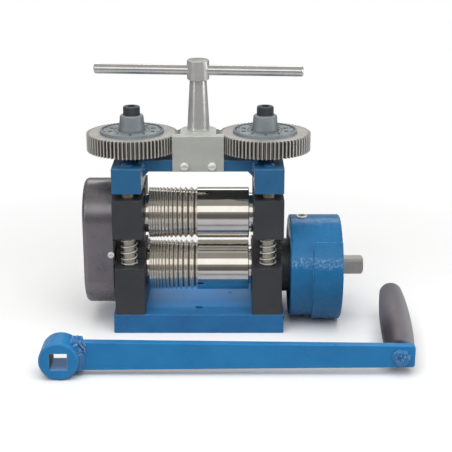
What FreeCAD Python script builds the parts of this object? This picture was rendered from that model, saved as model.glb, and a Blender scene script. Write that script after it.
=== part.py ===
import FreeCAD, Part
import math
import os
from FreeCAD import Vector

# Jewellers rolling mill, in millimetres.
# Origin: centre of the underside of the base. +X to the drive side, +Y to the rear, +Z up.
# Rolls lie along X, the feed passes along Y, and both stands are alike front to rear.

# Clearances
running_clearance = 0.06
sliding_clearance = 0.08
loose_clearance = 1.0
thrust_clearance = 0.05

# Frame
stand_half_depth = 47.5
base_half_width = 84.5
base_height = 19.3
base_edge = 1.2
bench_hole_d = 8.5
bench_hole_spacing = 54.0

# Rolls
roll_d = 51.0
roll_face = 100.0
roll_gap = 5.0
lower_axis_z = 55.5
groove_count = 12
groove_first_width = 2.25
groove_growth_ratio = 1.10
groove_land = 0.35
groove_end_margin = 0.8
roll_collar_d = 40.0
neck_d = 30.0
gear_journal_d = 22.0
bush_wall = 4.0

# Chocks
lower_chock_inner_x = 53.2
lower_chock_outer_x = 82.5
lower_ear_top_z = 67.5
lower_body_top_z = 80.0
upper_chock_inner_x = 54.4
upper_chock_outer_x = 83.5
upper_ear_bottom_z = 98.2
upper_body_bottom_z = 88.5
upper_chock_top_z = 137.3
chock_shoulder = 10.0
chock_edge = 0.8
chock_screw_d = 8.0
chock_screw_head_d = 13.0
chock_screw_head_h = 8.0
chock_screw_y = 12.0
chock_screw_depth = 12.0

# Tie studs and lift springs
stud_d = 11.0
stud_end_d = 9.0
stud_x = 68.8
stud_inset = 15.5
stud_foot_depth = 15.0
stud_tip_height = 0.7
spring_wire_d = 1.4
spring_outer_d = 16.8
spring_end_pitch = 1.9
spring_middle_turns = 4
spring_seat_gap = 0.05

# Top yoke
yoke_block_bottom_z = 144.3
yoke_block_top_z = 168.6
yoke_block_inner_x = 54.4
yoke_block_outer_x = 83.2
yoke_edge = 1.4
bar_half_depth = 24.1
bar_bottom_z = 160.4
bar_top_z = 171.4
gusset_size = 6.0

# Roll adjustment
adjust_module = 1.25
adjust_gear_teeth = 70
adjust_pinion_teeth = 35
adjust_backlash = 0.24
adjust_gear_bottom_z = 177.4
adjust_gear_thickness = 16.9
screw_d = 17.0
screw_spigot_d = 14.0
pad_d = 24.0
pad_thickness = 3.6
pad_stand = 1.5
dial_d = 63.2
dial_thickness = 3.0
dial_rim_width = 1.6
dial_rim_height = 0.8
dial_hub_bottom_d = 25.6
dial_hub_top_d = 23.2
dial_hub_height = 14.5
cap_head_d = 16.6
cap_head_h = 8.6
cap_thread_d = 8.0
cap_thread_length = 24.0
cap_socket_across = 8.0
cap_socket_depth = 5.5
cap_edge = 0.9

# Handle on top
spindle_journal_d = 14.0
spindle_cone_bottom_d = 22.2
spindle_cone_top_d = 16.4
handle_hub_d = 21.6
handle_hub_height = 19.7
handle_hub_top_z = 266.3
handle_hub_edge = 1.0
handle_bar_d = 10.0
handle_bar_length = 204.0
handle_bar_edge = 1.2
handle_rest_angle = -4.8
pinion_bottom_z = 173.0
spindle_bush_wall = 3.0

# Bracket over the pinion
bracket_half_width = 25.0
bracket_thickness = 2.5
bracket_bottom_z = 160.9
bracket_top_z = 197.3
bracket_strip_depth = 6.0
bracket_nose_radius = 17.5
bracket_screw_x = 13.5
bracket_screw_z = 166.0
bracket_screw_d = 5.0
bracket_screw_length = 14.0
bracket_head_d = 8.4
bracket_head_h = 3.0

# Roll timing gears and their cover
timing_module = 4.25
timing_teeth = 12
timing_pressure = 25.0
timing_backlash = 0.30
timing_gear_width = 16.0
timing_gear_outer_x = 106.5
gear_washer_d = 28.0
gear_washer_thickness = 2.0
gear_screw_d = 10.0
gear_screw_length = 18.0
gear_screw_head_d = 16.0
gear_screw_head_h = 2.6
gear_screw_across = 6.0
cover_radius = 35.8
cover_wall = 2.0
cover_low_z = 53.7
cover_high_z = 110.7
cover_outer_x = 114.4
cover_corner = 5.0
plate_inner_x = 84.5
plate_thickness = 4.0
plate_screw_y = 20.0
plate_screw_z = 36.0
plate_screw_d = 5.0
plate_screw_head_d = 9.6
plate_screw_length = 18.0
plate_foot_d = 13.0
cover_screw_z = 78.5
cover_screw_d = 3.0
cover_screw_length = 8.0
cover_screw_head_d = 6.6
cover_screw_head_h = 2.2
carriage_up = 2.0
carriage_down = 4.9

# Reduction gear
drum_radius = 51.5
drum_inner_x = 90.9
drum_outer_x = 142.3
drum_edge = 2.2
drum_back_wall = 5.0
drum_bore_radius = 43.0
drum_pad_height = 3.6
drum_pad_inner_x = 113.0
drum_pad_angle = 43.0
drum_boss_radius = 27.0
gear_module = 1.6
sun_teeth = 12
planet_teeth = 18
planet_count = 3
gear_backlash = 0.16
gear_width = 16.0
gear_start_x = 105.0
carrier_radius = 35.0
carrier_thickness = 7.0
carrier_bore_d = 25.0
carrier_gap = 1.0
planet_pin_d = 8.0
pin_head_d = 11.0
pin_head_h = 2.0
ring_start_x = 104.0
ring_width = 18.0
end_cover_radius = 49.7
end_cover_thickness = 5.3
end_cover_hub_wall = 6.0
end_cover_screw_count = 6
end_cover_screw_radius = 45.9
end_cover_screw_d = 3.5
end_cover_screw_length = 12.0
end_cover_head_d = 6.0
end_cover_head_h = 1.8
housing_screw_radius = 22.8
housing_screw_count = 4
housing_screw_d = 5.0
housing_screw_head_d = 9.4
housing_screw_depth = 12.0
oil_plug_x = 103.5
oil_plug_d = 8.0
oil_plug_rise = 1.4
input_journal_d = 20.0
input_square = 15.9
input_end_x = 166.7
input_edge = 1.6
input_bush_wall = 4.0
input_bush_length = 12.0
sun_spigot_d = 10.0

# Crank, lying in front of the mill
crank_x = -124.7
crank_front_y = -157.0
crank_boss_radius = 18.3
crank_boss_length = 27.3
crank_boss_edge = 1.2
crank_socket_clearance = 0.15
crank_centre_distance = 312.3
crank_arm_thickness = 8.0
crank_arm_root_height = 28.0
crank_arm_rise = 0.9
crank_arm_tip_height = 21.0
crank_arm_front_y = -146.4
crank_arm_overhang = 12.4
crank_arm_corner = 2.5
crank_arm_edge = 0.8
weld_radius = 3.4
grip_axis_z = 18.7
grip_rise_angle = 3.6
grip_splay_angle = 3.6
grip_spindle_d = 9.0
grip_spindle_head_d = 14.0
grip_spindle_head_h = 2.6
grip_length = 138.0
grip_base_radius = 13.2
grip_belly_radius = 14.9
grip_end_radius = 11.5
grip_dome_height = 9.0
grip_crown_radius = 1.5
grip_bore_stop = 12.0
grip_end_play = 0.55

# Places that follow from the sizes above
upper_axis_z = lower_axis_z + roll_d + roll_gap
stud_y = stand_half_depth - stud_inset
roll_half = roll_face / 2
bush_d = neck_d + 2 * bush_wall
adjust_x = adjust_module * (adjust_gear_teeth + adjust_pinion_teeth) / 2
adjust_gear_top_z = adjust_gear_bottom_z + adjust_gear_thickness
dial_top_z = adjust_gear_top_z + dial_thickness
cap_seat_z = dial_top_z + dial_hub_height
handle_hub_bottom_z = handle_hub_top_z - handle_hub_height
handle_bar_z = handle_hub_top_z - 0.52 * handle_hub_height
bracket_plate_z = bracket_top_z - bracket_thickness
bracket_front_y = -(bar_half_depth + bracket_thickness)
timing_gear_inner_x = timing_gear_outer_x - timing_gear_width
plate_outer_x = plate_inner_x + plate_thickness
planet_orbit = gear_module * (sun_teeth + planet_teeth) / 2
ring_teeth = sun_teeth + 2 * planet_teeth
carrier_outer_x = gear_start_x - carrier_gap
carrier_inner_x = carrier_outer_x - carrier_thickness
end_cover_inner_x = drum_outer_x - end_cover_thickness
crank_socket = input_square + 2 * crank_socket_clearance
crank_arm_back_y = crank_arm_front_y + crank_arm_thickness
crank_arm_root_z = crank_boss_radius + crank_arm_rise
grip_x = crank_x + crank_centre_distance
grip_slope = math.sin(math.radians(math.hypot(grip_rise_angle, grip_splay_angle)))
grip_start_y = crank_arm_back_y + grip_base_radius * grip_slope + grip_end_play
grip_end_y = grip_start_y + grip_length
grip_spindle_seat_y = crank_arm_front_y + 0.5 * grip_spindle_head_d * grip_slope

X_AXIS = Vector(1, 0, 0)
Y_AXIS = Vector(0, 1, 0)
Z_AXIS = Vector(0, 0, 1)


# Building blocks

def save(name, shape):
    shape = shape.removeSplitter() if len(shape.Solids) == 1 else shape
    if not shape.isValid():
        raise ValueError(name + " is not a valid shape")
    shape.exportStep(os.path.join("parts", name + ".step"))
    print(name, len(shape.Solids), "solid(s)", round(shape.Volume / 1000, 2), "cm3")


def group(shapes):
    return Part.makeCompound(shapes)


def box(x0, x1, y0, y1, z0, z1):
    return Part.makeBox(x1 - x0, y1 - y0, z1 - z0, Vector(x0, y0, z0))


def rod_x(x0, x1, radius, y=0.0, z=0.0):
    return Part.makeCylinder(radius, x1 - x0, Vector(x0, y, z), X_AXIS)


def rod_y(y0, y1, radius, x=0.0, z=0.0):
    return Part.makeCylinder(radius, y1 - y0, Vector(x, y0, z), Y_AXIS)


def rod_z(z0, z1, radius, x=0.0, y=0.0):
    return Part.makeCylinder(radius, z1 - z0, Vector(x, y, z0), Z_AXIS)


def closed_face(points):
    return Part.Face(Part.makePolygon(points + [points[0]]))


def turned_x(profile, z=0.0, y=0.0):
    """Solid of revolution about a line along X; the profile holds (x, radius) pairs."""
    face = closed_face([Vector(x, y, z + radius) for x, radius in profile])
    return face.revolve(Vector(0, y, z), X_AXIS, 360)


def turned_z(profile, x=0.0, y=0.0):
    """Solid of revolution about a line along Z; the profile holds (radius, z) pairs."""
    face = closed_face([Vector(x + radius, y, z) for radius, z in profile])
    return face.revolve(Vector(x, y, 0), Z_AXIS, 360)


def mirrored_x(shape):
    return shape.mirror(Vector(0, 0, 0), X_AXIS)


def edges_where(shape, test):
    return [edge for edge in shape.Edges if test(edge.BoundBox)]


def soften_uprights(shape, size):
    """Chamfers the outer upright edges of a block."""
    outer = shape.BoundBox
    chosen = []
    for edge in shape.Edges:
        span = edge.BoundBox
        upright = span.ZLength > 3 * size and span.XLength < 0.01 and span.YLength < 0.01
        at_side = min(abs(span.XMin - outer.XMin), abs(span.XMax - outer.XMax)) < 0.01
        at_end = min(abs(span.YMin - outer.YMin), abs(span.YMax - outer.YMax)) < 0.01
        if upright and at_side and at_end:
            chosen.append(edge)
    return shape.makeFillet(size, chosen)


def hex_prism(across, z0, z1, x=0.0, y=0.0):
    radius = across / math.sqrt(3)
    points = []
    for corner in range(6):
        angle = math.radians(60 * corner)
        points.append(Vector(x + radius * math.cos(angle), y + radius * math.sin(angle), z0))
    return closed_face(points).extrude(Vector(0, 0, z1 - z0))


def obround_yz(x0, x1, radius, low_z, high_z):
    """Upright rounded slot in the YZ plane, from x0 to x1."""
    def at(y, z):
        return Vector(x0, y, z)

    edges = [
        Part.LineSegment(at(radius, low_z), at(radius, high_z)).toShape(),
        Part.Arc(at(radius, high_z), at(0, high_z + radius), at(-radius, high_z)).toShape(),
        Part.LineSegment(at(-radius, high_z), at(-radius, low_z)).toShape(),
        Part.Arc(at(-radius, low_z), at(0, low_z - radius), at(radius, low_z)).toShape(),
    ]
    return Part.Face(Part.Wire(edges)).extrude(Vector(x1 - x0, 0, 0))


# Gear teeth

def involute(angle):
    return math.tan(angle) - angle


def tooth_half_angle(radius, pitch_radius, base_radius, half_at_pitch):
    radius = max(radius, base_radius)
    at_pitch = involute(math.acos(base_radius / pitch_radius))
    return half_at_pitch + at_pitch - involute(math.acos(min(1.0, base_radius / radius)))


def gear_solid(module, teeth, width, root_radius, tip_radius, widening, phase, pressure=20.0):
    """Toothed prism along Z with one tooth centred on the phase angle, in degrees."""
    pitch_radius = module * teeth / 2
    base_radius = pitch_radius * math.cos(math.radians(pressure))
    half = math.pi / (2 * teeth) + widening / (2 * pitch_radius)
    start_radius = max(root_radius, base_radius)
    middle_radius = (start_radius + tip_radius) / 2
    root_half = tooth_half_angle(start_radius, pitch_radius, base_radius, half)
    middle_half = tooth_half_angle(middle_radius, pitch_radius, base_radius, half)
    tip_half = tooth_half_angle(tip_radius, pitch_radius, base_radius, half)

    def at(radius, angle):
        return Vector(radius * math.cos(angle), radius * math.sin(angle), 0)

    edges = []
    step = 2 * math.pi / teeth
    for tooth in range(teeth):
        centre = math.radians(phase) + tooth * step
        rise = centre - root_half
        fall = centre + root_half
        following = centre + step - root_half
        flank_up = [
            at(start_radius, rise),
            at(middle_radius, centre - middle_half),
            at(tip_radius, centre - tip_half),
        ]
        flank_down = [
            at(tip_radius, centre + tip_half),
            at(middle_radius, centre + middle_half),
            at(start_radius, fall),
        ]
        if start_radius > root_radius + 0.01:
            edges.append(Part.LineSegment(at(root_radius, rise), flank_up[0]).toShape())
        edges.append(Part.Arc(*flank_up).toShape())
        edges.append(Part.Arc(flank_up[2], at(tip_radius, centre), flank_down[0]).toShape())
        edges.append(Part.Arc(*flank_down).toShape())
        if start_radius > root_radius + 0.01:
            edges.append(Part.LineSegment(flank_down[2], at(root_radius, fall)).toShape())
        root_middle = at(root_radius, (fall + following) / 2)
        edges.append(Part.Arc(at(root_radius, fall), root_middle, at(root_radius, following)).toShape())
    return Part.Face(Part.Wire(edges)).extrude(Vector(0, 0, width))


def outer_gear(module, teeth, width, backlash, phase, pressure=20.0):
    pitch_radius = module * teeth / 2
    root_radius = pitch_radius - 1.25 * module
    tip_radius = pitch_radius + module
    return gear_solid(module, teeth, width, root_radius, tip_radius, -backlash / 2, phase, pressure)


def laid_along_x(shape, x, y, z):
    """Turns a shape built along Z so that it runs along X; its X axis then points to +Y."""
    turned = shape.copy()
    turned.rotate(Vector(0, 0, 0), Vector(1, 1, 1), 120)
    turned.translate(Vector(x, y, z))
    return turned


# Coil springs

def biarc_edges(start, start_way, end, end_way):
    """Two arcs that leave the start and reach the end along the given directions."""
    chord = end - start
    ways = start_way + end_way
    spread = 2 * (1 - start_way.dot(end_way))
    along = chord.dot(ways)
    reach = (math.sqrt(along * along + spread * chord.dot(chord)) - along) / spread
    first_corner = start + start_way * reach
    second_corner = end - end_way * reach
    joint = (first_corner + second_corner) * 0.5
    edges = []
    for tail, corner, head in ((start, first_corner, joint), (joint, second_corner, end)):
        middle = (tail + head) * 0.5
        cosine = (head - tail).normalize().dot((corner - tail).normalize())
        crown = middle + (corner - middle) * (cosine / (1 + cosine))
        edges.append(Part.Arc(tail, crown, head).toShape())
    return edges


def spring_height(turn, middle_pitch):
    """Height of the wire's centre after a number of turns, with closed turns at both ends."""
    lower = min(turn, 1.0) * spring_end_pitch
    middle = min(max(turn - 1.0, 0.0), spring_middle_turns) * middle_pitch
    upper = max(turn - 1.0 - spring_middle_turns, 0.0) * spring_end_pitch
    return lower + middle + upper


def lift_spring(x, y):
    free_height = upper_ear_bottom_z - lower_ear_top_z - 2 * spring_seat_gap - spring_wire_d
    middle_pitch = (free_height - 2 * spring_end_pitch) / spring_middle_turns
    radius = (spring_outer_d - spring_wire_d) / 2
    start_z = lower_ear_top_z + spring_seat_gap + spring_wire_d / 2
    total_turns = spring_middle_turns + 2
    steps = 4 * total_turns
    points = []
    ways = []
    for step in range(steps + 1):
        turn = step / 4
        angle = 2 * math.pi * turn
        points.append(Vector(x + radius * math.cos(angle), y + radius * math.sin(angle),
                             start_z + spring_height(turn, middle_pitch)))
        before = spring_height(max(turn - 0.25, 0), middle_pitch)
        after = spring_height(min(turn + 0.25, total_turns), middle_pitch)
        rise = (after - before) / (min(turn + 0.25, total_turns) - max(turn - 0.25, 0))
        way = Vector(-radius * math.sin(angle), radius * math.cos(angle), rise / (2 * math.pi))
        ways.append(way.normalize())
    edges = []
    for step in range(steps):
        edges += biarc_edges(points[step], ways[step], points[step + 1], ways[step + 1])
    path = Part.Wire(edges)
    section = Part.Wire(Part.Circle(points[0], ways[0], spring_wire_d / 2).toShape())
    return path.makePipeShell([section], True, False), path


def spring_self_gap(path, count=720):
    """Least clear gap between turns that are at least half a turn apart."""
    points = path.discretize(count)
    apart = count // (2 * (spring_middle_turns + 2))
    least = min(
        (points[i] - points[j]).Length
        for i in range(0, count, 3)
        for j in range(i + apart, count)
    )
    return least - spring_wire_d


# Frame pieces

def base():
    block = box(-base_half_width, base_half_width, -stand_half_depth, stand_half_depth, 0, base_height)
    block = soften_uprights(block, base_edge)
    for side in (-1, 1):
        block = block.cut(rod_z(-1, base_height + 1, bench_hole_d / 2, 0, side * bench_hole_spacing / 2))
    for x, y in stud_places():
        block = block.cut(rod_z(base_height - stud_foot_depth, base_height + 1, stud_end_d / 2, x, y))
    for x, y in chock_screw_places():
        block = block.cut(rod_z(-1, base_height + 1, chock_screw_d / 2, x, y))
        block = block.cut(rod_z(-1, chock_screw_head_h + 0.5, chock_screw_head_d / 2 + 0.4, x, y))
    return block


def stud_places():
    return [(side * stud_x, end * stud_y) for side in (-1, 1) for end in (-1, 1)]


def chock_screw_places():
    return [(side * stud_x, end * chock_screw_y) for side in (-1, 1) for end in (-1, 1)]


def chock_screws():
    screws = []
    for x, y in chock_screw_places():
        head = rod_z(0.5, chock_screw_head_h + 0.5, chock_screw_head_d / 2, x, y)
        shank = rod_z(chock_screw_head_h, base_height + chock_screw_depth, chock_screw_d / 2, x, y)
        screw = head.fuse(shank).cut(hex_prism(6, 0, 4.5, x, y))
        screws.append(screw)
    return group(screws)


def tie_studs():
    studs = []
    for x, y in stud_places():
        profile = [
            (0, base_height - stud_foot_depth),
            (stud_end_d / 2, base_height - stud_foot_depth),
            (stud_end_d / 2, base_height),
            (stud_d / 2, base_height),
            (stud_d / 2, yoke_block_bottom_z),
            (stud_end_d / 2, yoke_block_bottom_z),
            (stud_end_d / 2, yoke_block_top_z + stud_tip_height / 2),
            (stud_end_d / 2 - stud_tip_height, yoke_block_top_z + stud_tip_height),
            (0, yoke_block_top_z + stud_tip_height),
        ]
        studs.append(turned_z(profile, x, y))
    return group(studs)


def lower_chock(side):
    inner, outer = lower_chock_inner_x, lower_chock_outer_x
    block = box(inner, outer, -stand_half_depth, stand_half_depth, base_height, lower_ear_top_z)
    block = soften_uprights(block, chock_edge)
    waist = stud_y - chock_shoulder
    middle = box(inner, outer, -waist, waist, lower_ear_top_z - 1, lower_body_top_z)
    block = block.fuse(middle).removeSplitter()
    if side > 0:
        boss = rod_x(outer - 0.5, drum_inner_x, drum_boss_radius, 0, lower_axis_z)
        block = block.fuse(boss).removeSplitter()
    block = block.cut(rod_x(inner - 1, drum_inner_x + 1, bush_d / 2, 0, lower_axis_z))
    if side < 0:
        block = mirrored_x(block)
    for x, y in stud_places():
        block = block.cut(rod_z(0, lower_body_top_z + 1, stud_d / 2, x, y))
    for x, y in chock_screw_places():
        block = block.cut(rod_z(0, base_height + chock_screw_depth, chock_screw_d / 2, x, y))
    if side < 0:
        for end in (-1, 1):
            tip = -plate_outer_x + plate_screw_length
            block = block.cut(rod_x(-outer - 1, tip, plate_screw_d / 2, end * plate_screw_y, plate_screw_z))
    else:
        for y, z in housing_screw_places():
            tip = drum_inner_x - housing_screw_depth
            block = block.cut(rod_x(tip, drum_inner_x + 1, housing_screw_d / 2, y, z))
    return block


def upper_chock(side):
    inner, outer = upper_chock_inner_x, upper_chock_outer_x
    block = box(inner, outer, -stand_half_depth, stand_half_depth, upper_ear_bottom_z, upper_chock_top_z)
    block = soften_uprights(block, chock_edge)
    waist = stud_y - chock_shoulder
    middle = box(inner, outer, -waist, waist, upper_body_bottom_z, upper_ear_bottom_z + 1)
    block = block.fuse(middle).removeSplitter()
    block = block.cut(rod_x(inner - 1, outer + 1, bush_d / 2, 0, upper_axis_z))
    pad_seat_z = upper_chock_top_z - pad_thickness + pad_stand
    block = block.cut(rod_z(pad_seat_z, upper_chock_top_z + 1, pad_d / 2, adjust_x, 0))
    if side < 0:
        block = mirrored_x(block)
    for x, y in stud_places():
        block = block.cut(rod_z(0, upper_chock_top_z + 1, stud_d / 2 + sliding_clearance, x, y))
    return block


def bushes(inner, outer, axis_z):
    pair = []
    for side in (-1, 1):
        low, high = sorted((side * inner, side * outer))
        tube = rod_x(low, high, bush_d / 2, 0, axis_z)
        pair.append(tube.cut(rod_x(low - 1, high + 1, neck_d / 2 + running_clearance, 0, axis_z)))
    return group(pair)


def thrust_pads():
    pads = []
    for side in (-1, 1):
        top = upper_chock_top_z + pad_stand
        pads.append(rod_z(top - pad_thickness, top, pad_d / 2, side * adjust_x, 0))
    return group(pads)


def top_yoke():
    blocks = []
    for side in (-1, 1):
        low, high = sorted((side * yoke_block_inner_x, side * yoke_block_outer_x))
        block = box(low, high, -stand_half_depth, stand_half_depth, yoke_block_bottom_z, yoke_block_top_z)
        blocks.append(soften_uprights(block, yoke_edge))
    reach = yoke_block_inner_x + 4
    bar = box(-reach, reach, -bar_half_depth, bar_half_depth, bar_bottom_z, bar_top_z)
    body = blocks[0].fuse([blocks[1], bar])
    for side in (-1, 1):
        corner = side * yoke_block_inner_x
        gusset = closed_face([
            Vector(corner + side * 0.5, -bar_half_depth, bar_bottom_z + 0.5),
            Vector(corner - side * gusset_size, -bar_half_depth, bar_bottom_z + 0.5),
            Vector(corner - side * gusset_size, -bar_half_depth, bar_bottom_z),
            Vector(corner, -bar_half_depth, bar_bottom_z - gusset_size),
            Vector(corner + side * 0.5, -bar_half_depth, bar_bottom_z - gusset_size),
        ]).extrude(Vector(0, 2 * bar_half_depth, 0))
        body = body.fuse(gusset)
    body = body.removeSplitter()
    for x, y in stud_places():
        body = body.cut(rod_z(yoke_block_bottom_z - 1, yoke_block_top_z + 1, stud_end_d / 2, x, y))
    for side in (-1, 1):
        radius = screw_d / 2 + running_clearance
        body = body.cut(rod_z(yoke_block_bottom_z - 1, bar_top_z + 1, radius, side * adjust_x, 0))
    body = body.cut(rod_z(bar_bottom_z - 1, bar_top_z + 1, spindle_journal_d / 2 + spindle_bush_wall))
    for side in (-1, 1):
        depth = bracket_front_y + bracket_screw_length
        hole = rod_y(-bar_half_depth - 1, depth, bracket_screw_d / 2, side * bracket_screw_x, bracket_screw_z)
        body = body.cut(hole)
    return body


# Rolls

def grooved_profile():
    """Points (x, radius) of the grooved half, from the left end of the roll face to the flat half."""
    radius = roll_d / 2
    x = -roll_half + groove_end_margin
    width = groove_first_width
    points = [(x, radius)]
    for groove in range(groove_count):
        depth = (width - groove_land) / 2
        points.append((x + groove_land / 2, radius))
        points.append((x + width / 2, radius - depth))
        points.append((x + width - groove_land / 2, radius))
        x += width
        width *= groove_growth_ratio
    return points


def roll(axis_z, chock_inner, chock_outer, drive_profile):
    radius = roll_d / 2
    collar = chock_inner - 0.5
    left_end = timing_gear_outer_x
    shoulder = timing_gear_inner_x
    profile = [(-left_end, 0), (-left_end, gear_journal_d / 2), (-shoulder, gear_journal_d / 2)]
    profile += [(-shoulder, neck_d / 2), (-collar, neck_d / 2), (-collar, roll_collar_d / 2)]
    profile += [(-roll_half, roll_collar_d / 2), (-roll_half, radius - 0.4), (-roll_half + 0.4, radius)]
    profile += grooved_profile()
    profile += [(roll_half - 0.6, radius), (roll_half, radius - 0.6), (roll_half, roll_collar_d / 2)]
    profile += [(collar, roll_collar_d / 2), (collar, neck_d / 2)]
    profile += drive_profile
    body = turned_x(profile, axis_z)
    thread_hole = rod_x(-left_end - 1, -left_end + gear_screw_length, gear_screw_d / 2, 0, axis_z)
    return body.cut(thread_hole)


def upper_roll():
    end = upper_chock_outer_x - 0.5
    drive_end = [(end - 1, neck_d / 2), (end, neck_d / 2 - 1), (end, 0)]
    return roll(upper_axis_z, upper_chock_inner_x, upper_chock_outer_x, drive_end)


def lower_roll():
    shoulder = carrier_inner_x
    drive_end = [(shoulder, neck_d / 2), (shoulder, carrier_bore_d / 2)]
    drive_end += [(carrier_outer_x, carrier_bore_d / 2), (carrier_outer_x, 0)]
    return roll(lower_axis_z, lower_chock_inner_x, lower_chock_outer_x, drive_end)


def timing_gear(axis_z, phase):
    gear = outer_gear(timing_module, timing_teeth, timing_gear_width, timing_backlash, phase, timing_pressure)
    gear = gear.cut(rod_z(-1, timing_gear_width + 1, gear_journal_d / 2))
    return laid_along_x(gear, -timing_gear_outer_x, 0, axis_z)


def gear_screw(axis_z):
    """Washer and low screw that hold a timing gear on its journal, as one turned group."""
    face = -timing_gear_outer_x
    washer = rod_x(face - gear_washer_thickness, face, gear_washer_d / 2, 0, axis_z)
    washer = washer.cut(rod_x(face - gear_washer_thickness, face, gear_screw_d / 2, 0, axis_z))
    seat = face - gear_washer_thickness
    head = rod_x(seat - gear_screw_head_h, seat, gear_screw_head_d / 2, 0, axis_z)
    shank = rod_x(seat - 0.5, face + gear_screw_length - 1, gear_screw_d / 2, 0, axis_z)
    socket = hex_prism(gear_screw_across, 0, gear_screw_head_h)
    socket = laid_along_x(socket, seat - gear_screw_head_h - 0.6, 0, axis_z)
    return group([washer, head.fuse(shank).cut(socket)])


# Gear cover on the left

def cover_plate():
    plate = obround_yz(-plate_outer_x, -plate_inner_x, cover_radius - cover_wall, cover_low_z, cover_high_z)
    for end in (-1, 1):
        y = end * plate_screw_y
        foot = rod_x(-plate_inner_x - 0.5, -lower_chock_outer_x, plate_foot_d / 2, y, plate_screw_z)
        plate = plate.fuse(foot)
    shaft_hole = neck_d / 2 + loose_clearance
    plate = plate.cut(rod_x(-plate_outer_x - 1, -plate_inner_x + 1, shaft_hole, 0, lower_axis_z))
    slot_low = upper_axis_z - carriage_down - 1
    slot_high = upper_axis_z + carriage_up + 1
    slot = obround_yz(-plate_outer_x - 1, -plate_inner_x + 1, shaft_hole, slot_low, slot_high)
    plate = plate.cut(slot)
    for end in (-1, 1):
        y = end * plate_screw_y
        plate = plate.cut(plate_screw(y, 0))
        plate = plate.cut(rod_y(*cover_screw_span(end), cover_screw_d / 2, -cover_screw_x(), cover_screw_z))
    return plate


def cover_screw_x():
    return (plate_inner_x + plate_outer_x) / 2


def cover_screw_span(end):
    tip = end * (cover_radius - cover_screw_length)
    seat = end * cover_radius
    return sorted((tip, seat))


def plate_screw(y, socket_depth):
    face = -plate_outer_x
    head_r, shank_r = plate_screw_head_d / 2, plate_screw_d / 2
    profile = [(face, 0), (face, head_r), (face + head_r - shank_r, shank_r)]
    profile += [(face + plate_screw_length, shank_r), (face + plate_screw_length, 0)]
    screw = turned_x(profile, plate_screw_z, y)
    if socket_depth > 0:
        screw = screw.cut(laid_along_x(hex_prism(3.0, -1, socket_depth), face, y, plate_screw_z))
    return screw


def plate_screws():
    return group([plate_screw(end * plate_screw_y, 2.0) for end in (-1, 1)])


def gear_cover():
    outer = obround_yz(-cover_outer_x, -plate_inner_x, cover_radius, cover_low_z, cover_high_z)
    rim = edges_where(outer, lambda span: span.XMax < -cover_outer_x + 0.01)
    outer = outer.makeFillet(cover_corner, rim)
    inner_end = -cover_outer_x + cover_wall
    inner = obround_yz(inner_end, -plate_inner_x + 1, cover_radius - cover_wall, cover_low_z, cover_high_z)
    rim = edges_where(inner, lambda span: span.XMax < inner_end + 0.01)
    inner = inner.makeFillet(cover_corner - cover_wall, rim)
    cup = outer.cut(inner)
    for end in (-1, 1):
        low, high = cover_screw_span(end)
        cup = cup.cut(rod_y(low - 1, high + 1, cover_screw_d / 2, -cover_screw_x(), cover_screw_z))
    return cup


def cover_screws():
    screws = []
    for end in (-1, 1):
        low, high = cover_screw_span(end)
        x = -cover_screw_x()
        shank = rod_y(low, high, cover_screw_d / 2, x, cover_screw_z)
        seat = end * cover_radius
        head_low, head_high = sorted((seat, seat + end * cover_screw_head_h))
        head = rod_y(head_low, head_high, cover_screw_head_d / 2, x, cover_screw_z)
        crown = abs(seat) + cover_screw_head_h
        top = [edge for edge in head.Edges if abs(abs(edge.BoundBox.YMin) - crown) < 0.01]
        head = head.makeFillet(0.9, top)
        slot_low, slot_high = sorted((seat + end * 1.2, seat + end * 4))
        slot = box(x - 5, x + 5, slot_low, slot_high, cover_screw_z - 0.5, cover_screw_z + 0.5)
        screws.append(shank.fuse(head).cut(slot))
    return group(screws)


# Reduction gear on the right

def pad_sector():
    """Raised pad round the lower part of the drum, as a sector in the YZ plane."""
    radius = drum_radius + drum_pad_height
    ring = rod_x(drum_pad_inner_x, drum_outer_x, radius, 0, lower_axis_z)
    edge = [e for e in ring.Edges if e.BoundBox.XLength < 0.01]
    ring = ring.makeFillet(drum_pad_height / 2, edge)
    reach = 2 * radius
    lean = math.radians(drum_pad_angle)
    rise = reach * math.tan(lean)
    wedge = closed_face([
        Vector(drum_pad_inner_x - 1, 0, lower_axis_z),
        Vector(drum_pad_inner_x - 1, reach, lower_axis_z + rise),
        Vector(drum_pad_inner_x - 1, reach, lower_axis_z + rise + reach),
        Vector(drum_pad_inner_x - 1, -reach, lower_axis_z + rise + reach),
        Vector(drum_pad_inner_x - 1, -reach, lower_axis_z + rise),
    ]).extrude(Vector(drum_outer_x - drum_pad_inner_x + 2, 0, 0))
    return ring.cut(wedge)


def housing_screw_places():
    places = []
    for count in range(housing_screw_count):
        angle = math.radians(45 + 360 / housing_screw_count * count)
        y = housing_screw_radius * math.cos(angle)
        z = lower_axis_z + housing_screw_radius * math.sin(angle)
        places.append((y, z))
    return places


def end_cover_screw_places():
    places = []
    for count in range(end_cover_screw_count):
        angle = math.radians(360 / end_cover_screw_count * (count + 0.5))
        y = end_cover_screw_radius * math.cos(angle)
        z = lower_axis_z + end_cover_screw_radius * math.sin(angle)
        places.append((y, z))
    return places


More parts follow.
